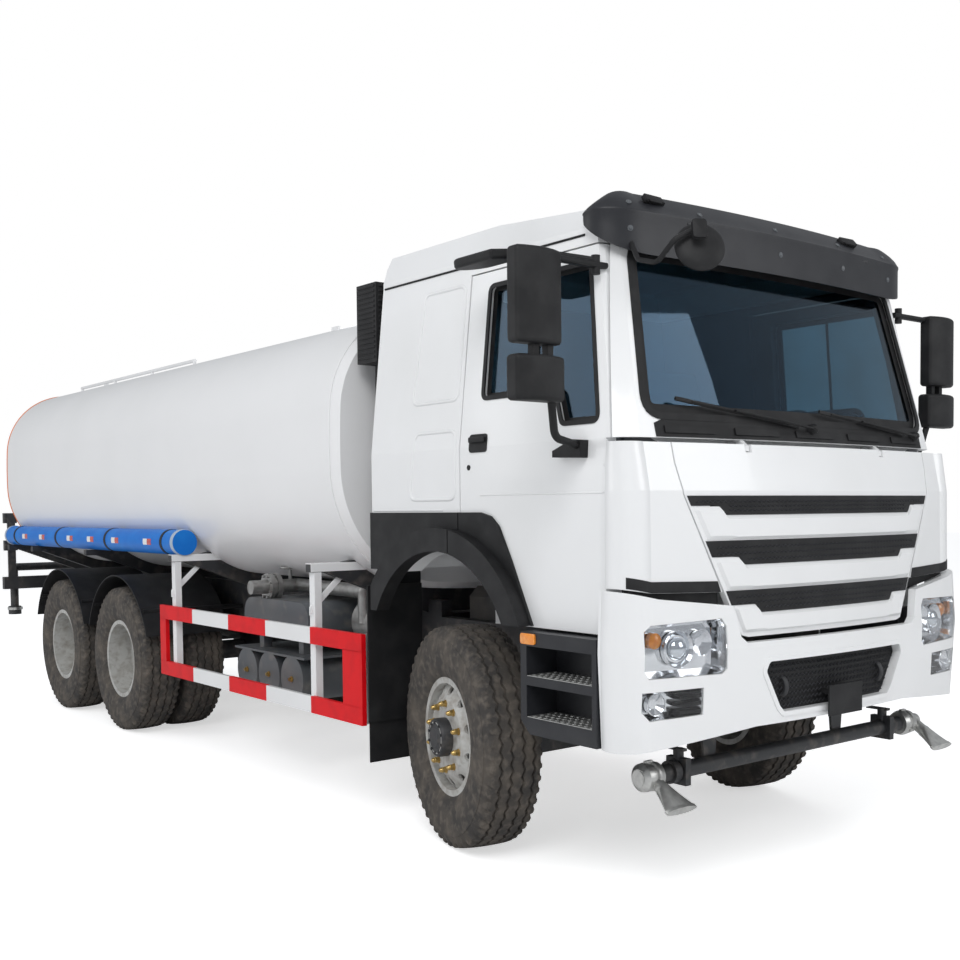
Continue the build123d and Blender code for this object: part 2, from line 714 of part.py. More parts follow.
def nose_volume(inset):
    with BuildPart() as made:
        for low, high in zip(nose_sections[:-1], nose_sections[1:]):
            for z, *section in (low, high):
                with BuildSketch(Plane.XY.offset(z)):
                    add(bowed_plan(z, section, inset, door_front_y - panel_gap))
            loft(ruled=True)
    return made.part


nose_plane = Plane.XZ.offset(-front_axle_y + 1000)
# half outline of the flap seen from the front, and its slots: low z, high z, half width low, half width high
flap_half = ((560, 1140), (600, 1150), (905, 1760), (930, 1895), (932, flap_top_z))
slots = ((1300, 1345, 560, 600), (1490, 1540, 640, 700), (1700, 1745, 760, 800))

with BuildPart() as nose_skin:
    add(nose_volume(0))
    add(nose_volume(nose_t), mode=Mode.SUBTRACT)
with BuildPart() as front_flap:
    add(nose_skin.part)
    with BuildSketch(nose_plane):
        with BuildLine():
            Polyline(*flap_half, *[(-x, z) for x, z in reversed(flap_half)], close=True)
        make_face()
        for low, high, half_low, half_high in slots:
            with BuildLine():
                Polyline((-half_low, low), (half_low, low), (half_high, high), (-half_high, high), close=True)
            make_face(mode=Mode.SUBTRACT)
    extrude(amount=600, mode=Mode.INTERSECT)
    with Locations((-500, flap_hinge_y, flap_top_z), (500, flap_hinge_y, flap_top_z)):
        Box(40, 90, 70, mode=Mode.SUBTRACT)
    with Locations(Plane(origin=(0, flap_hinge_y, flap_hinge_z), z_dir=(1, 0, 0))):
        Cylinder(6 + fit_gap, 1080, mode=Mode.SUBTRACT)
save(front_flap.part, "front_flap")
with BuildPart() as grille_mesh:
    add(nose_volume(nose_t + seat_gap))
    add(nose_volume(nose_t + seat_gap + 8), mode=Mode.SUBTRACT)
    with BuildSketch(nose_plane):
        with BuildLine():
            Polyline((-560, 1200), (560, 1200), (830, 1770), (-830, 1770), close=True)
        make_face()
    extrude(amount=600, mode=Mode.INTERSECT)

with BuildPart() as corner_panels:
    add(nose_skin.part)
    with BuildSketch(nose_plane):
        for side in (-1, 1):
            with BuildLine():
                Polyline((side * (700 + panel_gap), 1342), (side * (905 + panel_gap), 1760),
                         (side * (930 + panel_gap), 1895), (side * (932 + panel_gap), flap_top_z),
                         (side * 1300, flap_top_z), (side * 1300, 1388),
                         (side * 1080, 1352), close=True)
            make_face()
    extrude(amount=600, mode=Mode.INTERSECT)
with BuildPart() as panel_brackets:
    add(nose_volume(nose_t - 2))
    with Locations((-1020, front_axle_y - 1200, 1860), (1020, front_axle_y - 1200, 1860)):
        Box(60, 400, 60, mode=Mode.INTERSECT)
    add(cab_volume(-seat_gap), mode=Mode.SUBTRACT)
with BuildPart() as carried_panels:
    add(corner_panels.part)
    add(panel_brackets.part)
save(carried_panels.part, "corner_panels")

# ---------------------------------------------------------------- bumper
bumper_sections = (
    (680, 1215, -1180, 1110, -1370, -1480),
    (1100, 1235, -1190, 1120, -1390, -1495),
    (1380, 1225, -1190, 1110, -1370, -1470),
)
bumper_t = 40.0


def bumper_volume(inset):
    with BuildPart() as made:
        for low, high in zip(bumper_sections[:-1], bumper_sections[1:]):
            for z, *section in (low, high):
                with BuildSketch(Plane.XY.offset(z)):
                    add(bowed_plan(z, section, inset, front_axle_y - 1175))
            loft(ruled=True)
    return made.part


bumper_half = ((0, 752), (560, 752), (1260, 690), (1260, 1370), (1080, 1330), (690, 1285), (655, 1150), (620, 1122),
               (0, 1122))
lamp_half = ((735, 1020), (760, 1000), (1140, 1005), (1160, 1040), (1160, 1200), (1130, 1225), (760, 1235),
             (735, 1200))
fog_half = ((860, 835), (1130, 830), (1165, 870), (1165, 950), (860, 950))
intake_half = ((0, 800), (390, 800), (420, 830), (510, 990), (490, 1030), (0, 1030))


def both_halves(outline, grow=0.0):
    """Sketch on the front plane of one outline mirrored to the other side."""
    with BuildSketch(Plane.XZ) as made:
        for side in (-1, 1):
            with BuildLine():
                Polyline(*[(side * x, z) for x, z in outline], close=True)
            make_face()
        if grow:
            offset(amount=grow)
    return made.sketch_local


with BuildPart() as bumper:
    add(bumper_volume(0))
    add(bumper_volume(bumper_t), mode=Mode.SUBTRACT)
    with BuildSketch(nose_plane.offset(-100)):
        add(both_halves(bumper_half))
        for outline in (lamp_half, fog_half, intake_half):
            add(both_halves(outline), mode=Mode.SUBTRACT)
    extrude(amount=800, mode=Mode.INTERSECT)
save(bumper.part, "bumper")
with BuildPart() as lamps:
    add(bumper_volume(8))
    with Locations((0, front_axle_y - 1250, 1000)):
        Box(3000, 900, 3000, align=(Align.CENTER, Align.MAX, Align.CENTER), mode=Mode.INTERSECT)
    with BuildSketch(nose_plane):
        add(both_halves(lamp_half, -seat_gap))
        add(both_halves(fog_half, -seat_gap))
    extrude(amount=800, mode=Mode.INTERSECT)
save(lamps.part, "headlamps")
with BuildPart() as bumper_mesh:
    add(bumper_volume(bumper_t + seat_gap))
    add(bumper_volume(bumper_t + seat_gap + 8), mode=Mode.SUBTRACT)
    with BuildSketch(nose_plane):
        with Locations((0, 915)):
            Rectangle(1100, 250)
    extrude(amount=800, mode=Mode.INTERSECT)
with BuildPart() as meshes:
    add(grille_mesh.part)
    add(bumper_mesh.part)
    # plate bracket ahead of the bumper's opening, on two stays from the mesh
    with Locations((0, -overall_length / 2, 822)):
        Box(250, 8, 140, align=(Align.CENTER, Align.MIN, Align.CENTER))
    with Locations((-80, -overall_length / 2 + 4, 860), (80, -overall_length / 2 + 4, 860)):
        Box(24, 80, 24, align=(Align.CENTER, Align.MIN, Align.CENTER))
save(meshes.part, "grille_mesh")
with BuildPart() as bumper_brackets:
    for side in (-1, 1):
        with Locations((side * (rail_outer - 20), rail_front_y, 1050)):
            Box(36, 300, 90, align=(Align.CENTER, Align.MAX, Align.MAX))
    add(bumper_volume(bumper_t + 8 + 2 * seat_gap), mode=Mode.INTERSECT)
with BuildPart() as frame_with_brackets:
    add(frame_rails.part)
    add(bumper_brackets.part)
save(frame_with_brackets.part, "frame_rails")

# ---------------------------------------------------------------- sun visor
visor_sections = (
    (2792, 1112, -1020, 1010, -1120, -1185),
    (2980, 1116, -1010, 1010, -1125, -1190),
    (3075, 1095, -960, 960, -1020, -1075),
)
visor_t = 25.0


def visor_volume(inset):
    with BuildPart() as made:
        for low, high in zip(visor_sections[:-1], visor_sections[1:]):
            for z, *section in (low, high):
                with BuildSketch(Plane.XY.offset(z)):
                    add(bowed_plan(z, section, inset, front_axle_y - 935))
            loft(ruled=True)
    return made.part


with BuildPart() as visor_stays:
    for stay_x in (-650, 0, 650):
        with Locations((stay_x, front_axle_y - 1100, 2960)):
            Box(50, 300, 60)
    add(visor_volume(visor_t - 5), mode=Mode.INTERSECT)
    add(roof_volume(-seat_gap), mode=Mode.SUBTRACT)
    with Locations((0, front_axle_y - 1040, 2960)):
        Box(3000, 400, 400, align=(Align.CENTER, Align.MAX, Align.CENTER), mode=Mode.INTERSECT)

def round_arm(radius, bend_r, *points):
    """Round bar along points, with its corners bent."""
    with BuildPart() as made:
        with BuildLine() as line:
            FilletPolyline(*points, radius=bend_r)
        with BuildSketch(Plane(origin=line.line @ 0, z_dir=line.line % 0)):
            Circle(radius)
        sweep(path=line.line)
    return made.part


look_down = Plane(origin=(-880, front_axle_y - 1400, 2775), x_dir=(1, 0, 0), z_dir=(0.25, -0.9, 0.35))
with BuildPart() as sun_visor:
    add(visor_volume(0))
    add(visor_volume(visor_t), mode=Mode.SUBTRACT)
    # its wings clear the swing of the doors
    with Locations((0, front_axle_y - 1062, door_top_z + 12)):
        Box(3000, 400, 300, align=(Align.CENTER, Align.MIN, Align.MAX), mode=Mode.SUBTRACT)
    add(visor_stays.part)
    # round mirror that looks down on the bumper, on its bent arm
    with BuildSketch(look_down.offset(-20)):
        Circle(100)
    with BuildSketch(look_down.offset(22)):
        Circle(70)
    loft()
    add(round_arm(11, 30, (-985, front_axle_y - 1106, 2830), (-1010, front_axle_y - 1300, 2715),
                  (-1000, front_axle_y - 1390, 2800), (-900, front_axle_y - 1405, 2790)))
save(sun_visor.part, "sun_visor")

# ---------------------------------------------------------------- mirrors
mirror_y = front_axle_y - 1070
mirror_round = 20.0
arm_r = 17.0
stub_z = 2735.0
base_z = 1955.0
# heads: low z, high z, inner x, width, depth
mirror_heads = ((2370, 2755, 1352, 240, 120), (2140, 2325, 1340, 255, 130))


def mirror_head(side, low, high, inner, width, depth):
    with BuildPart() as made:
        with BuildSketch(Plane.XY.offset(low)):
            with BuildLine():
                x0, x1 = side * inner, side * (inner + width)
                Polyline((x0, mirror_y - depth / 4), (x0, mirror_y + depth / 3), (x1, mirror_y + depth / 3),
                         (x1, mirror_y - depth / 4))
                ThreePointArc((x1, mirror_y - depth / 4), ((x0 + x1) / 2, mirror_y - depth / 2),
                              (x0, mirror_y - depth / 4))
            make_face()
        extrude(amount=high - low)
        fillet(made.edges(), mirror_round)
    return made.part


for name, side in sides:
    with BuildPart() as mirror:
        for head in mirror_heads:
            add(mirror_head(side, *head))
        with Locations(*[(side * x, mirror_y, (mirror_heads[0][0] + mirror_heads[1][1]) / 2) for x in (1405, 1480)]):
            Box(30, 36, mirror_heads[0][0] - mirror_heads[1][1] + 10)
        # upper arm to the door's top corner
        with BuildSketch(Plane.YZ.offset(side * 1065)):
            with Locations((mirror_y + 20, stub_z)):
                RectangleRounded(44, 26, 12)
        extrude(amount=side * 300)
        with Locations((side * 1118, mirror_y + 20, stub_z)):
            Cylinder(19, 80)
        # foot on the door and the bent arm up to the lower head
        with BuildSketch(Plane.YZ.offset(side * 1140)):
            with BuildLine():
                Polyline((mirror_y + 210, base_z - 28), (mirror_y + 30, base_z - 35), (mirror_y + 25, base_z + 40),
                         (mirror_y + 80, base_z + 45), (mirror_y + 210, base_z), close=True)
            make_face()
        extrude(amount=side * 66)
        add(round_arm(arm_r, 55, (side * 1185, mirror_y + 55, base_z + 15), (side * 1345, mirror_y + 30, base_z + 45),
                      (side * 1385, mirror_y + 5, mirror_heads[1][0] + 20)))
        if name == "right":
            # kerb mirror above the window, looking down
            with Locations((side * 1300, mirror_y + 620, 2822)):
                with Locations(Rotation(0, side * 8, 0)):
                    Cylinder(100, 44)
                    Box(200, 240, 44, align=(Align.CENTER, Align.MAX, Align.CENTER))
            fillet(mirror.faces().filter_by(lambda face: face.center().Y > mirror_y + 380).edges(), 14)
            add(round_arm(14, 40, (side * 1290, mirror_y + 400, 2822), (side * 1240, mirror_y + 200, 2800),
                          (side * 1125, mirror_y + 25, stub_z + 20)))
        add(cab_volume(-seat_gap), mode=Mode.SUBTRACT)
    save(mirror.part, f"mirror_{name}")

# ---------------------------------------------------------------- cab steps
step_inner = 950.0
step_top = sill_z - 12
with BuildPart() as cab_steps:
    for side in (-1, 1):
        with BuildSketch(Plane.YZ.offset(side * step_inner)):
            with BuildLine():
                Polyline((front_axle_y - 1168, 700), (front_axle_y - 1168, step_top), (front_axle_y - 668, step_top),
                         (front_axle_y - 668, 760), (front_axle_y - 730, 700), close=True)
            make_face()
        extrude(amount=side * (body_half_width - 8 - step_inner))
        for low, high in ((775, 920), (960, 1095)):
            with Locations((side * 1160, front_axle_y - 925, (low + high) / 2)):
                Box(200, 430, high - low, mode=Mode.SUBTRACT)
        with Locations((side * (rail_outer + seat_gap + step_inner + 5) / 2, front_axle_y - 1060, 930)):
            Box(step_inner + 5 - rail_outer - seat_gap, 70, 70)
save(cab_steps.part, "cab_steps")

# ---------------------------------------------------------------- wheel arch trims
flare_r = 715.0
trim_outline = ((-672, 1176), (-520, 1470), (-430, 1625), (-370, 1672), (-290, 1690), (688, 1690), (688, 1388),
                (560, 1388))


def arch_trim(side, from_y, to_y):
    """Dark panel round the arch with its standing flare, between two places along the cab."""
    out = cab_half + seat_gap
    with BuildPart() as made:
        with BuildSketch(Plane.YZ.offset(side * out)):
            with BuildLine():
                Polyline(*[(front_axle_y + y, z) for y, z in trim_outline], (front_axle_y, 1176), close=True)
            make_face()
        extrude(amount=side * 15)
        with BuildSketch(Plane.YZ.offset(side * out)):
            with Locations((front_axle_y, arch_z)):
                Circle(flare_r)
            with Locations((front_axle_y, 0)):
                Rectangle(3000, 2 * 1176, mode=Mode.SUBTRACT)
            with Locations((front_axle_y + 590 + 500, 900)):
                Rectangle(1000, 1000, mode=Mode.SUBTRACT)
        extrude(amount=side * (body_half_width - 5 - out))
        with Locations(Plane(origin=(0, front_axle_y, arch_z), z_dir=(1, 0, 0))):
            Cylinder(arch_r, 3000, mode=Mode.SUBTRACT)
        with Locations((0, (from_y + to_y) / 2, arch_z)):
            Box(3000, to_y - from_y, 3000, mode=Mode.INTERSECT)
    return made.part


for name, side in sides:
    save(arch_trim(side, front_axle_y - 900, door_rear_y), f"door_arch_trim_{name}")
with BuildPart() as arch_trims:
    for side in (-1, 1):
        add(arch_trim(side, door_rear_y + panel_gap, cab_rear_y))
save(arch_trims.part, "arch_trims")

# ---------------------------------------------------------------- mudguards
guard_y = front_axle_y + 652
with BuildPart() as front_mudguards:
    for side in (-1, 1):
        with Locations((side * 1045, guard_y + 5, 930)):
            Box(350, 10, 740)
        with Locations((side * 1045, guard_y + 14, 485)):
            Box(330, 8, 290)
        with Locations((side * (rail_outer + seat_gap + 280), guard_y + 25, 960)):
            Box(560, 30, 40)

arch_band_r = 645.0
arch_band_t = 8.0
with BuildPart() as rear_mudguards:
    for axle_y in (first_axle_y, last_axle_y):
        for side in (-1, 1):
            with BuildSketch(Plane.YZ.offset(side * 600)):
                with Locations((axle_y, tyre_r)):
                    Circle(arch_band_r + arch_band_t)
                    Circle(arch_band_r, mode=Mode.SUBTRACT)
                with Locations((axle_y, tyre_r + 220 - 500)):
                    Rectangle(3000, 1000, mode=Mode.SUBTRACT)
            extrude(amount=side * (body_half_width - 600))
            for end in (-1, 1):
                with BuildSketch(Plane.YZ.offset(side * (rail_outer + seat_gap))):
                    with Locations((axle_y + end * 512, tyre_r + 399)):
                        Circle(18)
                extrude(amount=side * (body_half_width - 15 - rail_outer))
with BuildPart() as mudguards:
    add(front_mudguards.part)
    add(rear_mudguards.part)
save(mudguards.part, "mudguards")

# ---------------------------------------------------------------- side guards
guard_front_y = front_axle_y + 690
guard_rear_y = front_axle_y + 3450
guard_low, guard_high, guard_bar = 540.0, 1035.0, 95.0
post_x = bearer_tip_x - 28
with BuildPart() as side_guards:
    for side in (-1, 1):
        with BuildSketch(Plane.YZ.offset(side * (bearer_tip_x - 25))):
            with Locations(((guard_front_y + guard_rear_y) / 2, (guard_low + guard_high) / 2)):
                Rectangle(guard_rear_y - guard_front_y, guard_high - guard_low)
                Rectangle(guard_rear_y - guard_front_y - 2 * guard_bar, guard_high - guard_low - 2 * guard_bar,
                          mode=Mode.SUBTRACT)
        extrude(amount=side * 25)
        with BuildSketch(Plane.XY.offset(guard_low)):
            with BuildLine():
                x = side * bearer_tip_x
                Polyline((x, guard_front_y), (x - side * 25, guard_front_y + 20), (x - side * 150, guard_front_y + 95),
                         (x - side * 150, guard_front_y + 75), close=True)
            make_face()
        extrude(amount=guard_high - guard_low)
        for behind in (bearers[0], bearers[1]):
            with BuildSketch(Plane.XY.offset(guard_low + 30)):
                with Locations((side * (bearer_tip_x - 45), front_axle_y + behind)):
                    Rectangle(45, 60)
            extrude(amount=bearer_top - 45 - seat_gap - guard_low - 30)
save(side_guards.part, "side_guards")

# ---------------------------------------------------------------- under the tank, right side
tank_shelf_z = 790.0
with BuildPart() as air_tanks:
    with Locations((-rail_outer - seat_gap, front_axle_y + 2160, tank_shelf_z)):
        Box(620, 960, 14, align=(Align.MAX, Align.CENTER, Align.CENTER))
    for behind in (1850, 2160, 2470):
        with BuildSketch(Plane.YZ.offset(-1045)):
            with Locations((front_axle_y + behind, tank_shelf_z - 140)):
                Circle(145)
        extrude(amount=485)
save(air_tanks.part, "air_tanks")
with BuildPart() as silencer:
    with BuildSketch(Plane.YZ.offset(-1000)):
        with Locations((front_axle_y + 2150, 1015)):
            RectangleRounded(880, 230, 110)
    extrude(amount=480)
    with Locations(*[(x, front_axle_y + y, tank_shelf_z + 7 + seat_gap) for x in (-930, -600) for y in (1880, 2420)]):
        Box(60, 60, 125, align=(Align.CENTER, Align.CENTER, Align.MIN))
save(silencer.part, "silencer")
port_z = 1205.0
with BuildPart() as water_pump:
    with BuildSketch(Plane.XZ.offset(-front_axle_y - 1350)):
        with Locations((-620, 1010)):
            Circle(150)
    extrude(amount=-230)
    with Locations((-rail_outer - seat_gap, front_axle_y + 1465, 960)):
        Box(100, 140, 140, align=(Align.MAX, Align.CENTER, Align.CENTER))
    with Locations((-740, front_axle_y + 1465, 1110)):
        Cylinder(45, 200)
    with Locations((-740, front_axle_y + 1465, port_z)):
        Sphere(46)
    with Locations(Plane(origin=(-740, front_axle_y + 1890, port_z), z_dir=(0, 1, 0))):
        Cylinder(45, 850)
    with Locations((-740, front_axle_y + 2310, port_z)):
        Sphere(46)
    with Locations(Plane(origin=(-915, front_axle_y + 2310, port_z), z_dir=(1, 0, 0))):
        Cylinder(45, 350)
        Cylinder(70, 40)
save(water_pump.part, "water_pump")

# left side: fuel tank and battery box
with BuildPart() as fuel_tank:
    with BuildSketch(Plane.XZ.offset(-front_axle_y - 1250)):
        with Locations((800, 800)):
            RectangleRounded(620, 560, 90)
    extrude(amount=-1200)
    for behind in (1500, 2200):
        with Locations((rail_outer + seat_gap, front_axle_y + behind, 900)):
            Box(100, 60, 240, align=(Align.MIN, Align.CENTER, Align.CENTER))
with BuildPart() as battery_box:
    with Locations((rail_outer + seat_gap, front_axle_y + 2900, 860)):
        Box(560, 600, 360, align=(Align.MIN, Align.CENTER, Align.CENTER))
    chamfer(battery_box.edges().filter_by(Axis.Z), 20)
with BuildPart() as side_boxes:
    add(fuel_tank.part)
    add(battery_box.part)
save(side_boxes.part, "fuel_tank")

# ---------------------------------------------------------------- hose tubes
with BuildPart() as hose_tubes:
    for side in (-1, 1):
        with BuildSketch(Plane.XZ.offset(-tube_front_y)):
            with Locations((side * tube_x, tube_z)):
                Circle(tube_r)
        extrude(amount=-(tube_rear_y - tube_front_y))
save(hose_tubes.part, "hose_tubes")

# ---------------------------------------------------------------- front spray bar
spray_y = rail_front_y + 45
spray_z = 535.0
# each end: side, middle of the coupling, how far the nozzle stands out from it
spray_ends = ((-1, 930, -24), (1, 1030, 75))
valve_in = 200.0
with BuildPart() as spray_bar:
    with Locations(Plane(origin=(0, spray_y, spray_z), z_dir=(1, 0, 0))):
        Cylinder(38, 2 * (spray_ends[0][1] - 70))
    for bracket_x in (-515, 440):
        with BuildSketch(Plane.XZ.offset(-spray_y - 7)):
            with BuildLine():
                Polyline((bracket_x - 60, rail_bottom - seat_gap), (bracket_x + 60, rail_bottom - seat_gap),
                         (bracket_x + 33, spray_z), (bracket_x - 33, spray_z), close=True)
            make_face()
        extrude(amount=-14)
    for side, coupling_x, _ in spray_ends:
        valve_x = coupling_x - valve_in
        with Locations((side * valve_x, spray_y, spray_z)):
            Box(34, 120, 120)
            Cylinder(24, 100, align=(Align.CENTER, Align.CENTER, Align.MIN))
        with Locations((side * valve_x, spray_y + 25, spray_z + 96)):
            Box(26, 130, 12)
        with Locations(Plane(origin=(side * (valve_x + 45), spray_y, spray_z), z_dir=(1, 0, 0))):
            Cylinder(52, 40)
        with Locations(Plane(origin=(side * (coupling_x - 100), spray_y, spray_z), z_dir=(1, 0, 0))):
            Cylinder(38, 80)
save(spray_bar.part, "spray_bar")
with BuildPart() as spray_nozzles:
    for side, coupling_x, stand_out in spray_ends:
        drum = Plane(origin=(side * (coupling_x - 60 + seat_gap), spray_y, spray_z), x_dir=(0, 0, 1),
                     z_dir=(side, 0, 0))
        with BuildSketch(Plane(origin=drum.origin, x_dir=(side, 0, 0), z_dir=(0, -1, 0))):
            with BuildLine():
                Polyline((0, 0), (0, 58), (28, 66), (40, 66), (44, 56), (62, 56), (66, 64), (92, 62), (110, 40),
                         (112, 0), close=True)
            make_face()
        revolve(axis=Axis(drum.origin, (side, 0, 0)))
        with Locations(drum.offset(50)):
            with PolarLocations(60, 3):
                Box(22, 16, 44)
        nozzle_x = side * (coupling_x + stand_out)
        throat = Plane(origin=(nozzle_x, spray_y, spray_z), x_dir=(1, 0, 0), z_dir=(0, -0.85, -0.53)).offset(5)
        with Locations(Plane(origin=(side * coupling_x, spray_y, spray_z), z_dir=(side, 0, 0))):
            Cylinder(36, abs(stand_out) + 30, align=(Align.CENTER, Align.CENTER, Align.MIN))
        with BuildSketch(throat):
            Circle(30)
        extrude(amount=84)
        throat = throat.offset(80)
        with BuildSketch(throat):
            Circle(33)
        with BuildSketch(throat.offset(120)):
            Ellipse(88, 17)
        loft()
        with BuildSketch(throat.offset(119)):
            Ellipse(92, 21)
        extrude(amount=16)
save(spray_nozzles.part, "spray_nozzles")

# ---------------------------------------------------------------- top of the tank
tank_top_z = tank_z + tank_half_h
rail_x = 480.0
with BuildPart() as tank_railing:
    for side in (-1, 1):
        for behind in (4500, 5400, 6300, 7200):
            with Locations((side * rail_x, front_axle_y + behind, tank_top_z + 60)):
                Cylinder(14, 200, align=(Align.CENTER, Align.CENTER, Align.MAX))
        with Locations(Plane(origin=(side * rail_x, front_axle_y + 5850, tank_top_z + 60), z_dir=(0, 1, 0))):
            Cylinder(14, 2700 + 28)
        for behind in (2350, 6750):
            with Locations((side * 400, front_axle_y + behind, tank_top_z - 60)):
                Box(16, 90, 140, align=(Align.CENTER, Align.CENTER, Align.MIN))
    add(tank_space, mode=Mode.SUBTRACT)
save(tank_railing.part, "tank_railing")

manhole_y = front_axle_y + 5450
collar_r, collar_t, collar_top = 260.0, 12.0, tank_top_z + 75
with BuildPart() as manhole:
    with BuildSketch(Plane.XY.offset(tank_top_z - 60)):
        with Locations((0, manhole_y)):
            Circle(collar_r)
            Circle(collar_r - collar_t, mode=Mode.SUBTRACT)
    extrude(amount=collar_top - tank_top_z + 60)
    add(tank_space, mode=Mode.SUBTRACT)
    for ear_x in (-60, 60):
        with BuildSketch(Plane.YZ.offset(ear_x)):
            with Locations((manhole_y + collar_r + 14, collar_top - 14)):
                Rectangle(50, 28)
            with Locations((manhole_y + collar_r + 25, collar_top)):
                Circle(14)
        extrude(amount=8, both=True)
    with Locations(Plane(origin=(0, manhole_y + collar_r + 25, collar_top), z_dir=(1, 0, 0))):
        Cylinder(8, 140)
save(manhole.part, "manhole")
with BuildPart() as manhole_lid:
    with BuildSketch(Plane.XY.offset(collar_top + seat_gap)):
        with Locations((0, manhole_y)):
            Circle(collar_r + 8)
    extrude(amount=14)
    with BuildSketch(Plane.YZ):
        with Locations((manhole_y + collar_r + 2, collar_top + seat_gap + 7)):
            Rectangle(60, 14)
        with Locations((manhole_y + collar_r + 25, collar_top)):
            Circle(16)
    extrude(amount=40, both=True)
    with Locations(Plane(origin=(0, manhole_y + collar_r + 25, collar_top), z_dir=(1, 0, 0))):
        Cylinder(8 + fit_gap, 200, mode=Mode.SUBTRACT)
save(manhole_lid.part, "manhole_lid")

# ---------------------------------------------------------------- rear end
with BuildPart() as rear_bar:
    with Locations((0, rail_rear_y + seat_gap, 1010)):
        Box(2400, 70, 120, align=(Align.CENTER, Align.MIN, Align.CENTER))
    for side in (-1, 1):
        with Locations((side * 1120, rail_rear_y + seat_gap, 1040)):
            Box(70, 30, 660, align=(Align.CENTER, Align.MIN, Align.MIN))
        for z in (1380, 1650):
            with Locations((side * 1120, rail_rear_y + 25, z)):
                Box(120, 55, 100, align=(Align.CENTER, Align.MIN, Align.CENTER))
save(rear_bar.part, "rear_bar")
rear_pipe_y = rear_end_y - 60
with BuildPart() as rear_pipe:
    with Locations(Plane(origin=(0, rear_pipe_y, 1160), z_dir=(1, 0, 0))):
        Cylinder(38, 2140)
    for side in (-1, 1):
        with Locations((side * 1070, rear_pipe_y, 1160)):
            Sphere(44)
        with Locations((side * 1070, rear_pipe_y, 1160)):
            Cylinder(38, 440, align=(Align.CENTER, Align.CENTER, Align.MAX))
        with Locations((side * 1070, rear_pipe_y, 770)):
            Cylinder(60, 80, align=(Align.CENTER, Align.CENTER, Align.MAX))
        with Locations((side * 350, rear_pipe_y, 1070 + seat_gap)):
            Box(60, 120, 70, align=(Align.CENTER, Align.MAX, Align.MIN))
save(rear_pipe.part, "rear_pipe")

# ---------------------------------------------------------------- air intake behind the cab
with BuildPart() as air_intake:
    with Locations((-930, cab_rear_y + 60, 2730)):
        Box(300, 200, 430, align=(Align.CENTER, Align.MIN, Align.CENTER))
    with Locations((-900, cab_rear_y + 60, 1250)):
        Box(180, 160, 1300, align=(Align.CENTER, Align.MIN, Align.MIN))
    for z in (1700, 2400):
        with Locations((-900, cab_rear_y + seat_gap, z)):
            Box(60, 70, 60, align=(Align.CENTER, Align.MIN, Align.CENTER))
save(air_intake.part, "air_intake")

# ---------------------------------------------------------------- cab inside
floor_top = cab_floor_z + cab_floor_t + seat_gap
with BuildPart() as seats:
    for side in (-1, 1):
        with BuildSketch(Plane.YZ.offset(side * 560)):
            with BuildLine():
                Polyline((front_axle_y - 350, floor_top), (front_axle_y + 50, floor_top), (front_axle_y + 50, 1780),
                         (front_axle_y + 110, 1800), (front_axle_y + 260, 2480), (front_axle_y + 150, 2500),
                         (front_axle_y - 20, 1980), (front_axle_y - 480, 1940), (front_axle_y - 490, 1840),
                         (front_axle_y - 350, 1800), close=True)
            make_face()
        extrude(amount=240, both=True)
save(seats.part, "seats")
with BuildPart() as dashboard:
    with BuildSketch(Plane.YZ):
        with BuildLine():
            Polyline((front_axle_y - 1110, floor_top), (front_axle_y - 1110, 2060), (front_axle_y - 900, 2080),
                     (front_axle_y - 780, 1980), (front_axle_y - 820, 1800), (front_axle_y - 1000, 1700),
                     (front_axle_y - 1000, floor_top), close=True)
        make_face()
    extrude(amount=1000, both=True)
    wheel_plane = Plane(origin=(560, front_axle_y - 640, 2080), x_dir=(1, 0, 0), z_dir=(0, 0.5, 0.866))
    with BuildSketch(wheel_plane.offset(-320)):
        Circle(35)
    extrude(amount=320)
    with BuildSketch(wheel_plane):
        Circle(225)
        Circle(200, mode=Mode.SUBTRACT)
        Circle(60)
        Rectangle(430, 40)
    extrude(amount=25)
    add(cab_volume(cab_wall + seat_gap), mode=Mode.INTERSECT)
save(dashboard.part, "dashboard")
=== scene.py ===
import json
import math

import bmesh
import bpy
from mathutils import Matrix, Vector


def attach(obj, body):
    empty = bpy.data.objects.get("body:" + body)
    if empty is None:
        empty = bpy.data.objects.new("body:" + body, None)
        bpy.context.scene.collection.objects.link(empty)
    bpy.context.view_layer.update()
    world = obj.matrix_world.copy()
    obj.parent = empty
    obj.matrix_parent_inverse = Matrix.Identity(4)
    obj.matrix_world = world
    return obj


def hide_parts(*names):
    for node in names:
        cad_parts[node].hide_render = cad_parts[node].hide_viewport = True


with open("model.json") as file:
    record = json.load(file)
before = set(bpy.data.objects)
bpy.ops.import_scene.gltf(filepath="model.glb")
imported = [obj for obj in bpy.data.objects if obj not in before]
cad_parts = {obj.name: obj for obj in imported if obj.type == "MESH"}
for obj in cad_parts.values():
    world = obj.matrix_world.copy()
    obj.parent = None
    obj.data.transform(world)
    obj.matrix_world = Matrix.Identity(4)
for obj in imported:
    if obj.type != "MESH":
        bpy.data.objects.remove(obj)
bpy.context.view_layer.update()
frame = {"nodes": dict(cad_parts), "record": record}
nodes = frame["nodes"]
AX = -3.070          # front axle, along the truck
TYRE_R = 0.561
REAR_AXLES = (("mid", 4.325), ("last", 5.675))
TWIN_MIDDLE = 0.915  # x between the twin tyres
TWIN_TYRES = (("outer", 1.090), ("inner", 0.740))
TANK_Z = 2.050       # the tank's middle
TUBE_X, TUBE_Z, TUBE_R = 1.150, 1.485, 0.0895      # hose tubes beside the tank
PUMP_Y, PUMP_Z = 2.310, 1.205                      # the pump's mouth
AIR_TANKS_Y, AIR_TANKS_Z = (1.850, 2.160, 2.470), 0.650
SILL_Z, SILL_HALF = 2.0, 1.160                     # above this height the cab's sides lean in
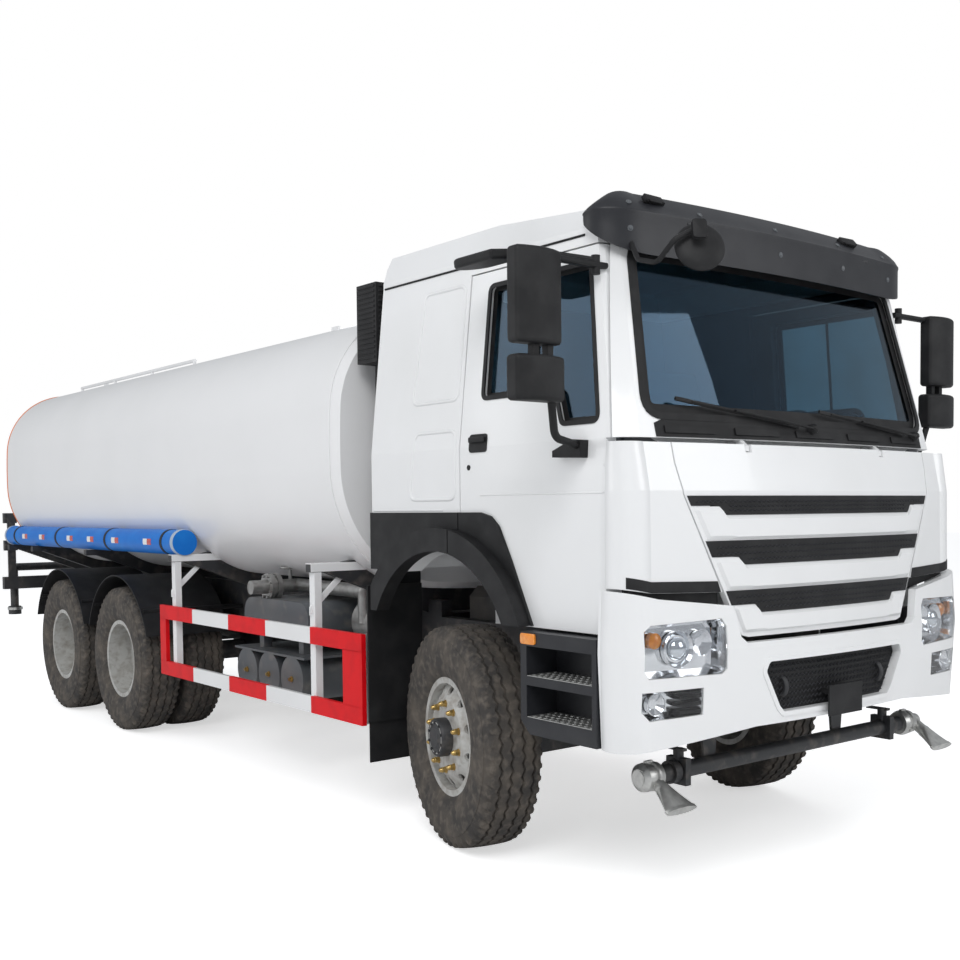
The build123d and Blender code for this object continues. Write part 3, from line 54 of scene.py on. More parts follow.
ROOF_HALF, LEAN_HEIGHT = 1.068, 0.89               # half width that much above the sill
SIDES = (("right", -1), ("left", 1))               # name, and the sign s of its x


def at(x, y, z):
    """Point with its y counted from the front axle."""
    return Vector((x, AX + y, z))


# ---------------------------------------------------------------- materials
def mat(name, color, rough=0.5, metal=0.0, coat=0.0, vary=None, bump=None, dust=None, **extra):
    """Principled material. vary: (scale, other colour, from, to); bump: (scale, strength);
    dust: (scale, colour, amount)."""
    m = bpy.data.materials.new(name)
    m.use_nodes = True
    nt = m.node_tree
    b = nt.nodes["Principled BSDF"]
    b.inputs["Base Color"].default_value = (*color, 1)
    b.inputs["Roughness"].default_value = rough
    b.inputs["Metallic"].default_value = metal
    b.inputs["Coat Weight"].default_value = coat
    b.inputs["Coat Roughness"].default_value = 0.08
    for key, value in extra.items():
        b.inputs[key.replace("_", " ")].default_value = value
    place = nt.nodes.new("ShaderNodeTexCoord").outputs["Object"]
    last = None

    def noise(scale, detail=4.0):
        n = nt.nodes.new("ShaderNodeTexNoise")
        n.inputs["Scale"].default_value = scale
        n.inputs["Detail"].default_value = detail
        nt.links.new(place, n.inputs["Vector"])
        return n.outputs["Fac"]

    def layer(fac, low, high, color_b, first):
        r = nt.nodes.new("ShaderNodeMapRange")
        r.inputs["From Min"].default_value = low
        r.inputs["From Max"].default_value = high
        nt.links.new(fac, r.inputs["Value"])
        x = nt.nodes.new("ShaderNodeMix")
        x.data_type = "RGBA"
        nt.links.new(r.outputs["Result"], x.inputs["Factor"])
        if first is None:
            x.inputs["A"].default_value = (*color, 1)
        else:
            nt.links.new(first, x.inputs["A"])
        x.inputs["B"].default_value = (*color_b, 1)
        return x.outputs["Result"]

    if vary:
        last = layer(noise(vary[0]), vary[2], vary[3], vary[1], last)
    if dust:
        last = layer(noise(dust[0], 8.0), 0.62 - dust[2] * 0.4, 0.95 - dust[2] * 0.2, dust[1], last)
    if last is not None:
        nt.links.new(last, b.inputs["Base Color"])
    if bump:
        n = nt.nodes.new("ShaderNodeBump")
        n.inputs["Strength"].default_value = bump[1]
        n.inputs["Distance"].default_value = 0.002
        nt.links.new(noise(bump[0], 3.0), n.inputs["Height"])
        nt.links.new(n.outputs["Normal"], b.inputs["Normal"])
    return m


WHITE = mat("white_paint", (0.86, 0.865, 0.87), 0.32, coat=0.5, vary=(1.3, (0.81, 0.815, 0.815), 0.45, 0.75),
            bump=(60, 0.012))
TANK = mat("tank_paint", (0.87, 0.87, 0.875), 0.38, coat=0.3, vary=(0.9, (0.83, 0.833, 0.835), 0.45, 0.75),
           bump=(5, 0.05))
BLACK = mat("black_plastic", (0.011, 0.011, 0.012), 0.55, vary=(9, (0.021, 0.021, 0.022), 0.4, 0.7),
            bump=(600, 0.25), Specular_IOR_Level=0.3)
DARK = mat("charcoal_plastic", (0.019, 0.020, 0.024), 0.42, vary=(5, (0.030, 0.031, 0.035), 0.4, 0.75),
           bump=(450, 0.15), Specular_IOR_Level=0.38)
CHASSIS = mat("chassis_paint", (0.03, 0.031, 0.034), 0.5, vary=(4, (0.07, 0.066, 0.06), 0.5, 0.8),
              bump=(80, 0.3), dust=(12, (0.16, 0.14, 0.12), 0.25))
GREY = mat("grey_paint", (0.10, 0.11, 0.12), 0.42, vary=(3, (0.15, 0.15, 0.15), 0.45, 0.75), bump=(90, 0.1),
           dust=(9, (0.25, 0.23, 0.2), 0.15))
BLUE = mat("blue_paint", (0.008, 0.17, 0.62), 0.42, vary=(6, (0.012, 0.21, 0.68), 0.4, 0.7), bump=(50, 0.03),
           Specular_IOR_Level=0.2)
RUBBER = mat("tyre_rubber", (0.045, 0.041, 0.038), 0.85, vary=(7, (0.10, 0.085, 0.07), 0.42, 0.7),
             bump=(220, 0.5), dust=(25, (0.17, 0.145, 0.12), 0.35))
RIM = mat("wheel_paint", (0.50, 0.50, 0.48), 0.5, vary=(12, (0.33, 0.31, 0.28), 0.45, 0.75), bump=(150, 0.15),
          dust=(30, (0.24, 0.21, 0.18), 0.3))
STEEL = mat("cast_metal", (0.42, 0.42, 0.41), 0.4, 0.85, vary=(20, (0.28, 0.27, 0.26), 0.4, 0.75),
            bump=(120, 0.25))
ALU = mat("cast_aluminium", (0.62, 0.62, 0.6), 0.38, 0.9, vary=(30, (0.45, 0.45, 0.44), 0.4, 0.75),
          bump=(160, 0.25))
BRASS = mat("brass", (0.62, 0.43, 0.16), 0.33, 0.95, vary=(40, (0.4, 0.27, 0.1), 0.4, 0.75), bump=(200, 0.1))
CHROME = mat("chrome", (0.82, 0.83, 0.84), 0.12, 1.0, vary=(10, (0.74, 0.75, 0.77), 0.4, 0.7),
             bump=(20, 0.01))
IRON = mat("engine_metal", (0.06, 0.06, 0.06), 0.6, 0.3, vary=(5, (0.12, 0.11, 0.1), 0.4, 0.7),
           bump=(60, 0.4))
SEAT = mat("seat_fabric", (0.05, 0.05, 0.055), 0.9, vary=(50, (0.1, 0.1, 0.11), 0.4, 0.7), bump=(700, 0.6))
GLASS = mat("tinted_glass", (0.24, 0.40, 0.50), 0.02, Transmission_Weight=1.0, IOR=1.5,
            Specular_Tint=(0.35, 0.62, 0.95, 1),
            vary=(3, (0.21, 0.33, 0.40), 0.4, 0.7))
LENS = mat("clear_lens", (0.92, 0.93, 0.94), 0.03, Transmission_Weight=1.0, IOR=1.3,
           vary=(4, (0.9, 0.91, 0.93), 0.4, 0.7))
AMBER = mat("amber_lens", (0.85, 0.26, 0.02), 0.15, coat=0.8, vary=(60, (0.95, 0.36, 0.04), 0.4, 0.7),
            bump=(150, 0.2))
RED = mat("red_lens", (0.55, 0.02, 0.015), 0.15, coat=0.8, vary=(60, (0.65, 0.04, 0.02), 0.4, 0.7),
          bump=(150, 0.2))
RED_PAINT = mat("red_paint", (0.76, 0.003, 0.008), 0.42, vary=(8, (0.62, 0.003, 0.008), 0.45, 0.75),
                bump=(80, 0.05), Specular_IOR_Level=0.2)
ORANGE = mat("orange_band", (0.75, 0.17, 0.02), 0.4, vary=(20, (0.65, 0.14, 0.02), 0.4, 0.7), bump=(90, 0.1))
MIRROR = mat("mirror_glass", (0.75, 0.78, 0.8), 0.03, 1.0, vary=(2, (0.7, 0.74, 0.78), 0.4, 0.7))


def cab_paint():
    """White paint that turns dark on the points inside the cab's walls: the dark colour is the cab's dark
    trim and also painted shade inside the cab.
    """
    m = WHITE.copy()
    m.name = "cab_paint"
    nt = m.node_tree
    sep = nt.nodes.new("ShaderNodeSeparateXYZ")
    nt.links.new(nt.nodes.new("ShaderNodeTexCoord").outputs["Object"], sep.inputs[0])

    def math_node(kind, *inputs):
        n = nt.nodes.new("ShaderNodeMath")
        n.operation = kind
        for k, value in enumerate(inputs):
            if isinstance(value, (int, float)):
                n.inputs[k].default_value = value
            else:
                nt.links.new(value, n.inputs[k])
        return n.outputs[0]

    # behind the leaning front wall, before the rear wall, between the sides and above the floor
    across, along, height = sep.outputs["X"], sep.outputs["Y"], sep.outputs["Z"]
    above_sill = math_node("SUBTRACT", height, SILL_Z)
    lean = math_node("MULTIPLY_ADD", above_sill, 0.235, AX - 1.215)
    half = math_node("MULTIPLY_ADD", math_node("MAXIMUM", above_sill, 0.0), -0.103, 1.12)
    inside = math_node("LESS_THAN", math_node("ABSOLUTE", across), half)
    for test in (math_node("GREATER_THAN", along, lean), math_node("LESS_THAN", along, AX + 0.65),
                 math_node("GREATER_THAN", height, 1.50)):
        inside = math_node("MULTIPLY", inside, test)
    base = nt.nodes["Principled BSDF"].inputs["Base Color"]
    mix = nt.nodes.new("ShaderNodeMix")
    mix.data_type = "RGBA"
    nt.links.new(inside, mix.inputs["Factor"])
    nt.links.new(base.links[0].from_socket, mix.inputs["A"])
    # dark inside colour: the trim's own dark grey and painted shade of the cab's closed inside
    mix.inputs["B"].default_value = (0.055, 0.062, 0.075, 1)
    nt.links.new(mix.outputs["Result"], base)
    return m


LOOKS = {
    "white_paint": WHITE, "guard_paint": WHITE, "grey_paint": GREY, "blue_paint": BLUE,
    "chassis_paint": CHASSIS, "pipe_paint": CHASSIS, "wheel_paint": RIM, "tyre_rubber": RUBBER,
    "black_plastic": BLACK, "dark_plastic": DARK, "glass": GLASS, "lamp_glass": LENS,
    "engine_metal": IRON, "pump_metal": STEEL, "cast_aluminium": ALU, "seat_fabric": SEAT,
}
for part in frame["record"]["subparts"]:
    shown = nodes[part["node"]]
    shown.data.materials.clear()
    shown.data.materials.append(LOOKS[part["material_slot"]])
for name in ("tank", "manhole", "manhole_lid", "tank_railing"):
    nodes[name].data.materials[0] = TANK
CAB_PAINT = cab_paint()
for name in ("cab_body", "door_right", "door_left"):
    nodes[name].data.materials[0] = CAB_PAINT


# ---------------------------------------------------------------- shapes
class Piece:
    """Collects shapes into one mesh."""

    def __init__(self):
        self.bm = bmesh.new()

    def grid(self, rings, closed=False, around=True, caps=False):
        """Skin over rings of points. closed joins the last ring to the first; around closes each ring."""
        rows = [[self.bm.verts.new(p) for p in ring] for ring in rings]
        for a, b in zip(rows, rows[1:] + (rows[:1] if closed else [])):
            n = len(a)
            for i in range(n if around else n - 1):
                j = (i + 1) % n
                self.bm.faces.new((a[i], a[j], b[j], b[i]))
        if caps and not closed:
            self.bm.faces.new(list(reversed(rows[0])))
            self.bm.faces.new(rows[-1])
        return self

    def prism(self, outline, origin, ex, ey, depth, bevel=0.0, seg=2):
        """Outline of 2D points in the plane (ex, ey) at origin, pushed along their normal by depth."""
        o, ex, ey = Vector(origin), Vector(ex).normalized(), Vector(ey).normalized()
        ez = ex.cross(ey)
        low = [self.bm.verts.new(o + ex * u + ey * v) for u, v in outline]
        high = [self.bm.verts.new(o + ex * u + ey * v + ez * depth) for u, v in outline]
        n = len(low)
        faces = [self.bm.faces.new(list(reversed(low))), self.bm.faces.new(high)]
        faces += [self.bm.faces.new((low[i], low[(i + 1) % n], high[(i + 1) % n], high[i])) for i in range(n)]
        if depth < 0:
            bmesh.ops.reverse_faces(self.bm, faces=faces)
        if bevel:
            edges = {e for f in faces for e in f.edges}
            bmesh.ops.bevel(self.bm, geom=list(edges), offset=bevel, segments=seg, affect="EDGES",
                            profile=0.5, clamp_overlap=True)
        return self

    def box(self, lo, hi, bevel=0.003, seg=2):
        lo, hi = Vector(lo), Vector(hi)
        lo, hi = Vector(map(min, lo, hi)), Vector(map(max, lo, hi))
        d = hi - lo
        return self.prism([(0, 0), (d.x, 0), (d.x, d.y), (0, d.y)], lo, (1, 0, 0), (0, 1, 0), d.z, bevel, seg)

    def lathe(self, origin, axis, profile, steps=32):
        """Profile of (along, radius) points turned about the axis, with its ends capped."""
        o, a = Vector(origin), Vector(axis).normalized()
        u = a.orthogonal().normalized()
        v = a.cross(u)
        rings = []
        for along, r in profile:
            r = max(r, 0.0002)
            rings.append([o + a * along + (u * math.cos(t) + v * math.sin(t)) * r
                          for t in (2 * math.pi * i / steps for i in range(steps))])
        return self.grid(rings, caps=True)

    def rod(self, a, b, r, steps=14):
        a, b = Vector(a), Vector(b)
        return self.lathe(a, b - a, [(0, r), ((b - a).length, r)], steps)

    def tube(self, points, r, steps=12, closed=False, up=(0, 0, 1), flat=1.0):
        """Round bar along a line of points; flat scales its thickness in the up direction."""
        pts = [Vector(p) for p in points]
        n = len(pts)
        rings = []
        ref = Vector(up)
        for i, p in enumerate(pts):
            a = pts[(i - 1) % n] if closed or i else pts[0]
            b = pts[(i + 1) % n] if closed or i < n - 1 else pts[-1]
            t = (b - a).normalized()
            s = t.cross(ref)
            if s.length < 1e-3:
                s = t.orthogonal()
            s.normalize()
            w = s.cross(t)
            rings.append([p + s * r * math.cos(k) + w * r * flat * math.sin(k)
                          for k in (2 * math.pi * j / steps for j in range(steps))])
        return self.grid(rings, closed=closed, caps=not closed)

    def make(self, name, look, body, slot=None, angle=35):
        """Object of the collected shapes, riding a body; edges under angle degrees are shaded smooth."""
        bmesh.ops.remove_doubles(self.bm, verts=self.bm.verts, dist=1e-6)
        bmesh.ops.recalc_face_normals(self.bm, faces=self.bm.faces)
        for e in self.bm.edges:
            e.smooth = e.is_manifold and e.calc_face_angle(3.0) < math.radians(angle)
        for f in self.bm.faces:
            f.smooth = True
        mesh = bpy.data.meshes.new(name)
        self.bm.to_mesh(mesh)
        self.bm.free()
        mesh.materials.append(look)
        ob = bpy.data.objects.new(name, mesh)
        bpy.context.scene.collection.objects.link(ob)
        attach(ob, body)
        return ob


def bend(points, radius, steps=6):
    """Points of a line with its inner corners rounded."""
    pts = [Vector(p) for p in points]
    out = [pts[0]]
    for a, b, c in zip(pts, pts[1:], pts[2:]):
        u, v = (a - b).normalized(), (c - b).normalized()
        half = u.angle(v) / 2
        cut = min(radius / math.tan(half), (a - b).length * 0.49, (c - b).length * 0.49)
        p, q = b + u * cut, b + v * cut
        for i in range(steps + 1):
            t = i / steps
            out.append(p * (1 - t) ** 2 + b * 2 * t * (1 - t) + q * t * t)
    out.append(pts[-1])
    return out


# ---------------------------------------------------------------- tyres
def tyre_mesh():
    pitches = 54
    n = pitches * 4
    zig = (0.0, 1.0, 0.0, -1.0)
    # columns over the tread: place, and drop of the radius
    cols = []
    for centre in (-0.086, -0.031, 0.031, 0.086):
        cols += [(centre - 0.0075, 0), (centre - 0.0045, 0.015), (centre + 0.0045, 0.015),
                 (centre + 0.0075, 0)]
    crown = lambda x: TYRE_R - 0.006 * (x / 0.125) ** 2
    tread = [(x, crown(x) - drop) for x, drop in cols]
    side = [(0.126, 0.5535), (0.134, 0.546), (0.137, 0.528), (0.143, 0.512), (0.1475, 0.497),
            (0.1515, 0.495), (0.1570, 0.455), (0.1572, 0.425), (0.1545, 0.395), (0.1515, 0.380),
            (0.1525, 0.372), (0.147, 0.345), (0.137, 0.318), (0.129, 0.306), (0.122, 0.300), (0.116, 0.288)]
    # how far the first side points move in and down between two lugs
    between = ((0.014, 0.004), (0.010, 0.010), (0.002, 0.002))
    rings = []
    for i in range(n):
        t = 2 * math.pi * i / n
        z = zig[i % 4]
        lug = i % 4 in (0, 1)
        ring = []
        for sx in (-1, 1):
            part = []
            for k, (x, r) in enumerate(side):
                if k < len(between) and not lug:
                    x, r = x - between[k][0], r - between[k][1]
                part.append((sx * x, r))
            if sx < 0:
                ring += list(reversed(part))
                ring += [(x + z * 0.0065, r) for x, r in tread]
            else:
                ring += part
        rings.append([Vector((x, r * math.cos(t), r * math.sin(t))) for x, r in ring])
    p = Piece()
    p.grid(rings, closed=True, around=False)
    bm = p.bm
    bmesh.ops.recalc_face_normals(bm, faces=bm.faces)
    for e in bm.edges:
        e.smooth = e.is_manifold and e.calc_face_angle(3.0) < math.radians(28)
    for f in bm.faces:
        f.smooth = True
    mesh = bpy.data.meshes.new("tyre_tread")
    bm.to_mesh(mesh)
    bm.free()
    mesh.materials.append(RUBBER)
    return mesh


STEER = math.radians(-12.6)      # at rest the front wheels stand turned, as in the photo
tyre = tyre_mesh()


def place_tyre(name, centre, turn, body, node):
    ob = bpy.data.objects.new(name, tyre)
    bpy.context.scene.collection.objects.link(ob)
    ob.matrix_world = Matrix.Translation(centre) @ Matrix.Rotation(turn, 4, "Z")
    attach(ob, body)
    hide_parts(node)


KING = 0.860         # kingpins, from the truck's middle
HUB = 0.151          # front wheel's middle, out from its kingpin
for name, s in SIDES:
    out = Vector((math.cos(STEER), math.sin(STEER), 0)) * s
    place_tyre(f"tread_front_{name}", at(s * KING, 0, TYRE_R) + out * HUB, STEER, f"front_wheel_{name}",
               f"front_tyre_{name}")
    for row, y in REAR_AXLES:
        for place, x in TWIN_TYRES:
            place_tyre(f"tread_{row}_{place}_{name}", at(s * x, y, TYRE_R), 0.0, f"{row}_wheels_{name}",
                       f"{row}_tyres_{name}")


# ---------------------------------------------------------------- cab surfaces
def arc_y(x, a, b, c):
    """y on the arc through three (x, y) points."""
    (x1, y1), (x2, y2), (x3, y3) = a, b, c
    d = 2 * (x1 * (y2 - y3) + x2 * (y3 - y1) + x3 * (y1 - y2))
    q1, q2, q3 = x1 * x1 + y1 * y1, x2 * x2 + y2 * y2, x3 * x3 + y3 * y3
    ux = (q1 * (y2 - y3) + q2 * (y3 - y1) + q3 * (y1 - y2)) / d
    uy = (q1 * (x3 - x2) + q2 * (x1 - x3) + q3 * (x2 - x1)) / d
    r = math.hypot(x1 - ux, y1 - uy)
    return uy + math.copysign(math.sqrt(max(r * r - (x - ux) ** 2, 0)), y2 - uy)


def section_at(sections, z):
    """Values of a body's section at a height, between those given."""
    for low, high in zip(sections, sections[1:]):
        if z <= high[0] or high is sections[-1]:
            t = (z - low[0]) / (high[0] - low[0])
            return [a + (b - a) * t for a, b in zip(low[1:], high[1:])]


# each section: height, half width, y at the side, x and y at the corner, y in front
CAB = ((2.0, 1.160, -1.185, 1.070, -1.262, -1.345), (2.89, 1.068, -1.010, 0.985, -1.050, -1.095))
NOSE = ((1.14, 1.205, -1.19, 1.08, -1.34, -1.44), (1.777, 1.205, -1.19, 1.08, -1.33, -1.425),
        (1.98, 1.195, -1.19, 1.08, -1.29, -1.375))
BUMPER = ((0.68, 1.215, -1.18, 1.11, -1.37, -1.48), (1.10, 1.235, -1.19, 1.12, -1.39, -1.495),
          (1.38, 1.225, -1.19, 1.11, -1.37, -1.47))


def face_y(sections, x, z, out=0.0, bowed=True):
    """Front surface of a body at x and z, moved forwards by out."""
    half, side_y, corner_x, corner_y, front_y = section_at(sections, z)
    if abs(x) <= corner_x:
        return arc_y(x, (-corner_x, corner_y), (0, front_y), (corner_x, corner_y)) - out
    if not bowed:
        t = (abs(x) - corner_x) / (half - corner_x)
        return corner_y + (side_y - corner_y) * t - out
    b = 0.35 * (half - corner_x)
    mid = ((half + corner_x) / 2 + b, (side_y + corner_y) / 2 - b)
    return arc_y(min(abs(x), half), (half, side_y), mid, (corner_x, corner_y)) - out


def front(sections, x, z, out=0.0, bowed=True):
    return at(x, face_y(sections, x, z, out, bowed), z)


def side_x(z):
    """Half width of the cab at a height."""
    return SILL_HALF if z < SILL_Z else SILL_HALF + (z - SILL_Z) / LEAN_HEIGHT * (ROOF_HALF - SILL_HALF)


def loop(points, radius, steps=6):
    """Closed outline of 2D points with rounded corners."""
    pts = [Vector((*p, 0)) for p in points]
    out = []
    for i, b in enumerate(pts):
        a, c = pts[i - 1], pts[(i + 1) % len(pts)]
        u, v = (a - b).normalized(), (c - b).normalized()
        half = u.angle(v) / 2
        cut = min(radius / math.tan(half), (a - b).length * 0.49, (c - b).length * 0.49)
        p, q = b + u * cut, b + v * cut
        for t in (k / steps for k in range(steps + 1)):
            out.append(p * (1 - t) ** 2 + b * 2 * t * (1 - t) + q * t * t)
    return [(p.x, p.y) for p in out]


def fine(points, step=0.04):
    """Points of a closed outline with long edges divided."""
    out = []
    for a, b in zip(points, points[1:] + points[:1]):
        n = max(1, int(math.dist(a, b) / step))
        out += [tuple(p + (q - p) * k / n for p, q in zip(a, b)) for k in range(n)]
    return out


def inset(points, d):
    """Closed 2D outline moved inwards by d, or outwards where d is negative."""
    turn = sum(a[0] * b[1] - b[0] * a[1] for a, b in zip(points, points[1:] + points[:1]))
    sign = 1 if turn > 0 else -1
    out = []
    n = len(points)
    for i in range(n):
        a, b = Vector(points[i - 1]), Vector(points[(i + 1) % n])
        t = (b - a).normalized()
        out.append((points[i][0] - t.y * d * sign, points[i][1] + t.x * d * sign))
    return out


def band(piece, outline, width, surface, low, high):
    """Closed flat band inside an outline, lying on a surface between two depths."""
    inner = inset(outline, width)
    rows = [[surface(*p, low) for p in outline], [surface(*p, high) for p in outline],
            [surface(*p, high) for p in inner], [surface(*p, low) for p in inner]]
    return piece.grid(rows, closed=True)


def patch(piece, outline, surface, low, high):
    """Plate filling an outline on a surface, between two depths, in rings that shrink to its middle."""
    cx = sum(p[0] for p in outline) / len(outline)
    cz = sum(p[1] for p in outline) / len(outline)
    rows = []
    for depth, shares in ((high, (0.002, 0.35, 0.7, 1.0)), (low, (1.0, 0.7, 0.35, 0.002))):
        for k in shares:
            rows.append([surface(cx + (p[0] - cx) * k, cz + (p[1] - cz) * k, depth) for p in outline])
    return piece.grid(rows, caps=True)


# ---------------------------------------------------------------- windscreen, cowl and wipers
screen = fine(loop([(-1.030, 2.090), (-0.945, 2.840), (0.945, 2.840), (1.030, 2.090)], 0.09))
on_cab = lambda x, z, out: front(CAB, x, z, out, bowed=False)
piece = Piece()
band(piece, inset(screen, -0.012), 0.030, on_cab, -0.006, 0.006)
band(piece, screen, 0.055, on_cab, -0.0185, -0.0165)
piece.make("windscreen_seal", BLACK, "chassis", "black_plastic")
piece = Piece()
cowl = [(-0.985, 2.004), (-0.985, 2.062), (-0.93, 2.084), (0.93, 2.084), (0.985, 2.062), (0.985, 2.004)]
patch(piece, fine(cowl, 0.06), on_cab, -0.001, 0.005)
for k in range(5):
    x = -0.8 + 0.4 * k
    vent = [(x - 0.14, 2.022), (x - 0.14, 2.052), (x + 0.14, 2.052), (x + 0.14, 2.022)]
    patch(piece, fine(vent, 0.06), on_cab, 0.005, 0.011)
piece.make("cowl", BLACK, "chassis", "black_plastic")
for name, tip, pivot in (("a", (-0.86, 2.170), (-0.02, 2.060)), ("b", (0.06, 2.150), (0.90, 2.058))):
    piece = Piece()
    line = lambda t, out: on_cab(pivot[0] + (tip[0] - pivot[0]) * t, pivot[1] + (tip[1] - pivot[1]) * t, out)
    piece.tube([line(0, 0.018), line(0.05, 0.05), line(0.3, 0.046), line(0.62, 0.034)], 0.009, 8, flat=0.6)
    piece.tube([line(0.12 + 0.88 * k / 12, 0.016) for k in range(13)], 0.006, 8, flat=1.6)
    piece.tube([line(0.2 + 0.7 * k / 8, 0.024) for k in range(9)], 0.004, 8)
    piece.lathe(line(0, 0.0), (0, -1, 0.25), [(0, 0.026), (0.03, 0.024), (0.045, 0.012), (0.047, 0)], 16)
    piece.make(f"wiper_{name}", BLACK, "chassis", "black_plastic")

# ---------------------------------------------------------------- sun visor, front mirror and gutter
VISOR_END = 0.88          # where the corners begin
VISOR_HALF = 1.110
FOLD = 0.62               # share of the height where the visor turns back


def visor_path():
    """Points along the visor: x, y, outward x and y, share of the corner turned."""
    out = []
    for k in range(-14, 15):
        x = VISOR_END * k / 14
        y = arc_y(x, (-1.01, -1.125), (0, -1.19), (1.01, -1.125))
        out.append((x, y, x * 0.065, -1.0, 0.0))
    y0, yc = out[-1][1], -0.985
    turn = []
    for a in (math.pi / 2 * k / 10 for k in range(1, 11)):
        turn.append((VISOR_END + (VISOR_HALF - VISOR_END) * math.sin(a), yc - (yc - y0) * math.cos(a),
                     math.sin(a), -math.cos(a), a / (math.pi / 2)))
    turn += [(VISOR_HALF - 0.002, -0.965, 1.0, 0.10, 1.08), (VISOR_HALF - 0.012, -0.950, 1.0, 0.45, 1.18),
             (VISOR_HALF - 0.030, -0.942, 0.8, 0.8, 1.25)]
    return [(-x, y, -nx, ny, t) for x, y, nx, ny, t in reversed(turn)] + out + turn


def visor_point(spot, share, depth):
    """Point on the visor at a share of its height, depth inside its face."""
    x, y, nx, ny, t = spot
    low = 2.792 + 0.108 * min(t, 1.25) ** 2
    top = 3.077 - 0.060 * min(t, 1.25) ** 3
    turned = min(t, 1.0)
    if 0.60 < share < 0.64:
        back = -0.003      # a line stands out along the fold
    elif share < FOLD:
        back = 0.0
    else:
        back = (0.115 - 0.055 * turned) * ((share - FOLD) / 0.38) ** (1.25 + 0.8 * turned)
    n = Vector((nx, ny, 0)).normalized()
    return at(x, y, low + (top - low) * share) - n * (back + depth)


piece = Piece()
shares = (0.0, 0.05, 0.3, 0.55, 0.605, FOLD, 0.635, 0.66, 0.75, 0.85, 0.93, 0.98, 1.0)
rings = []
for spot in visor_path():
    ring = [visor_point(spot, 0.0, 0.006)] + [visor_point(spot, k, 0.0) for k in shares]
    ring += [visor_point(spot, 1.0, 0.04), visor_point(spot, 0.985, 0.04)]
    ring += [visor_point(spot, k, 0.014) for k in (0.9, 0.66, 0.3, 0.02)]
    rings.append(ring)
piece.grid(rings, caps=True)
visor = piece.make("visor_shell", DARK, "chassis", "dark_plastic", angle=50)
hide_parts("sun_visor")
piece = Piece()
for x in (-0.98, -0.55, -0.05, 0.42, 0.86):
    spot = min(visor_path(), key=lambda q: abs(q[0] - x) + (q[4] > 0.6))
    for share, tilt in ((0.34, 0.0), (0.76, 0.9)):
        piece.lathe(visor_point(spot, share, 0.001), (spot[2], spot[3], tilt),
                    [(0, 0.013), (0.003, 0.013), (0.003, 0.009), (0.007, 0.006), (0.008, 0)], 12)
piece.make("visor_bolts", GREY, "chassis", "grey_paint")
for k, x in enumerate((-0.80, 0.58)):
    spot = min(visor_path(), key=lambda q: abs(q[0] - x))
    piece = Piece()
    across, up = (1, -spot[2], 0), (0, 0.62, 0.78)
    piece.prism([(-0.062, -0.020), (0.062, -0.020), (0.056, 0.020), (-0.056, 0.020)],
                visor_point(spot, 0.86, 0.004), across, up, 0.026, 0.005)
    piece.prism([(-0.040, -0.012), (0.040, -0.012), (0.038, 0.012), (-0.038, 0.012)],
                visor_point(spot, 0.86, -0.0205), across, up, 0.006, 0.002)
    piece.make(f"marker_lamp_{k}", BLACK, "chassis", "black_plastic")
piece = Piece()
for x in (-0.65, 0.0, 0.65):
    piece.box(at(x - 0.022, -1.165, 2.945), at(x + 0.022, -1.045, 2.958), 0.003)
piece.make("visor_stays", CHASSIS, "chassis", "chassis_paint")
# round mirror before the front corner: its back faces look, its glass faces the other way
look = Vector((-0.50, -0.80, 0.28)).normalized()
middle = at(-0.880, -1.425, 2.777)
piece = Piece()
piece.lathe(middle - look * 0.016, look, [(0, 0.098), (0.006, 0.106), (0.016, 0.106), (0.026, 0.096),
                                          (0.034, 0.070), (0.039, 0.035), (0.040, 0)], 40)
clamp = loop([(-0.030, -0.05), (-0.030, 0.03), (0.030, 0.03), (0.030, -0.05)], 0.012, 4)
piece.prism(clamp, middle + look * 0.030 + Vector((-0.02, 0, 0.06)), (0.85, -0.53, 0), (0.1, 0.2, 1),
            0.02, 0.005)
arm = [at(-0.975, -1.118, 2.835), at(-1.015, -1.20, 2.745), at(-1.020, -1.315, 2.712),
       at(-0.995, -1.395, 2.800), at(-0.915, -1.435, 2.845)]
piece.tube(bend(arm, 0.04), 0.011, 12)
piece.make("front_mirror", BLACK, "chassis", "black_plastic")
piece = Piece()
piece.lathe(middle - look * 0.0165, -look, [(0, 0.097), (0.001, 0.097), (0.001, 0)], 40)
piece.make("front_mirror_glass", MIRROR, "chassis")
piece = Piece()
for s in (-1, 1):
    piece.tube([at(s * 1.0695, -0.93 + 1.60 * k / 6, 2.8895) for k in range(7)], 0.0055, 8)
piece.make("gutter", BLACK, "chassis", "black_plastic")

# ---------------------------------------------------------------- doors and cab sides
window = fine(loop([(-1.105, 2.070), (-0.985, 2.770), (-0.270, 2.770), (-0.270, 2.225), (-0.800, 2.225),
                    (-0.860, 2.070)], 0.04))
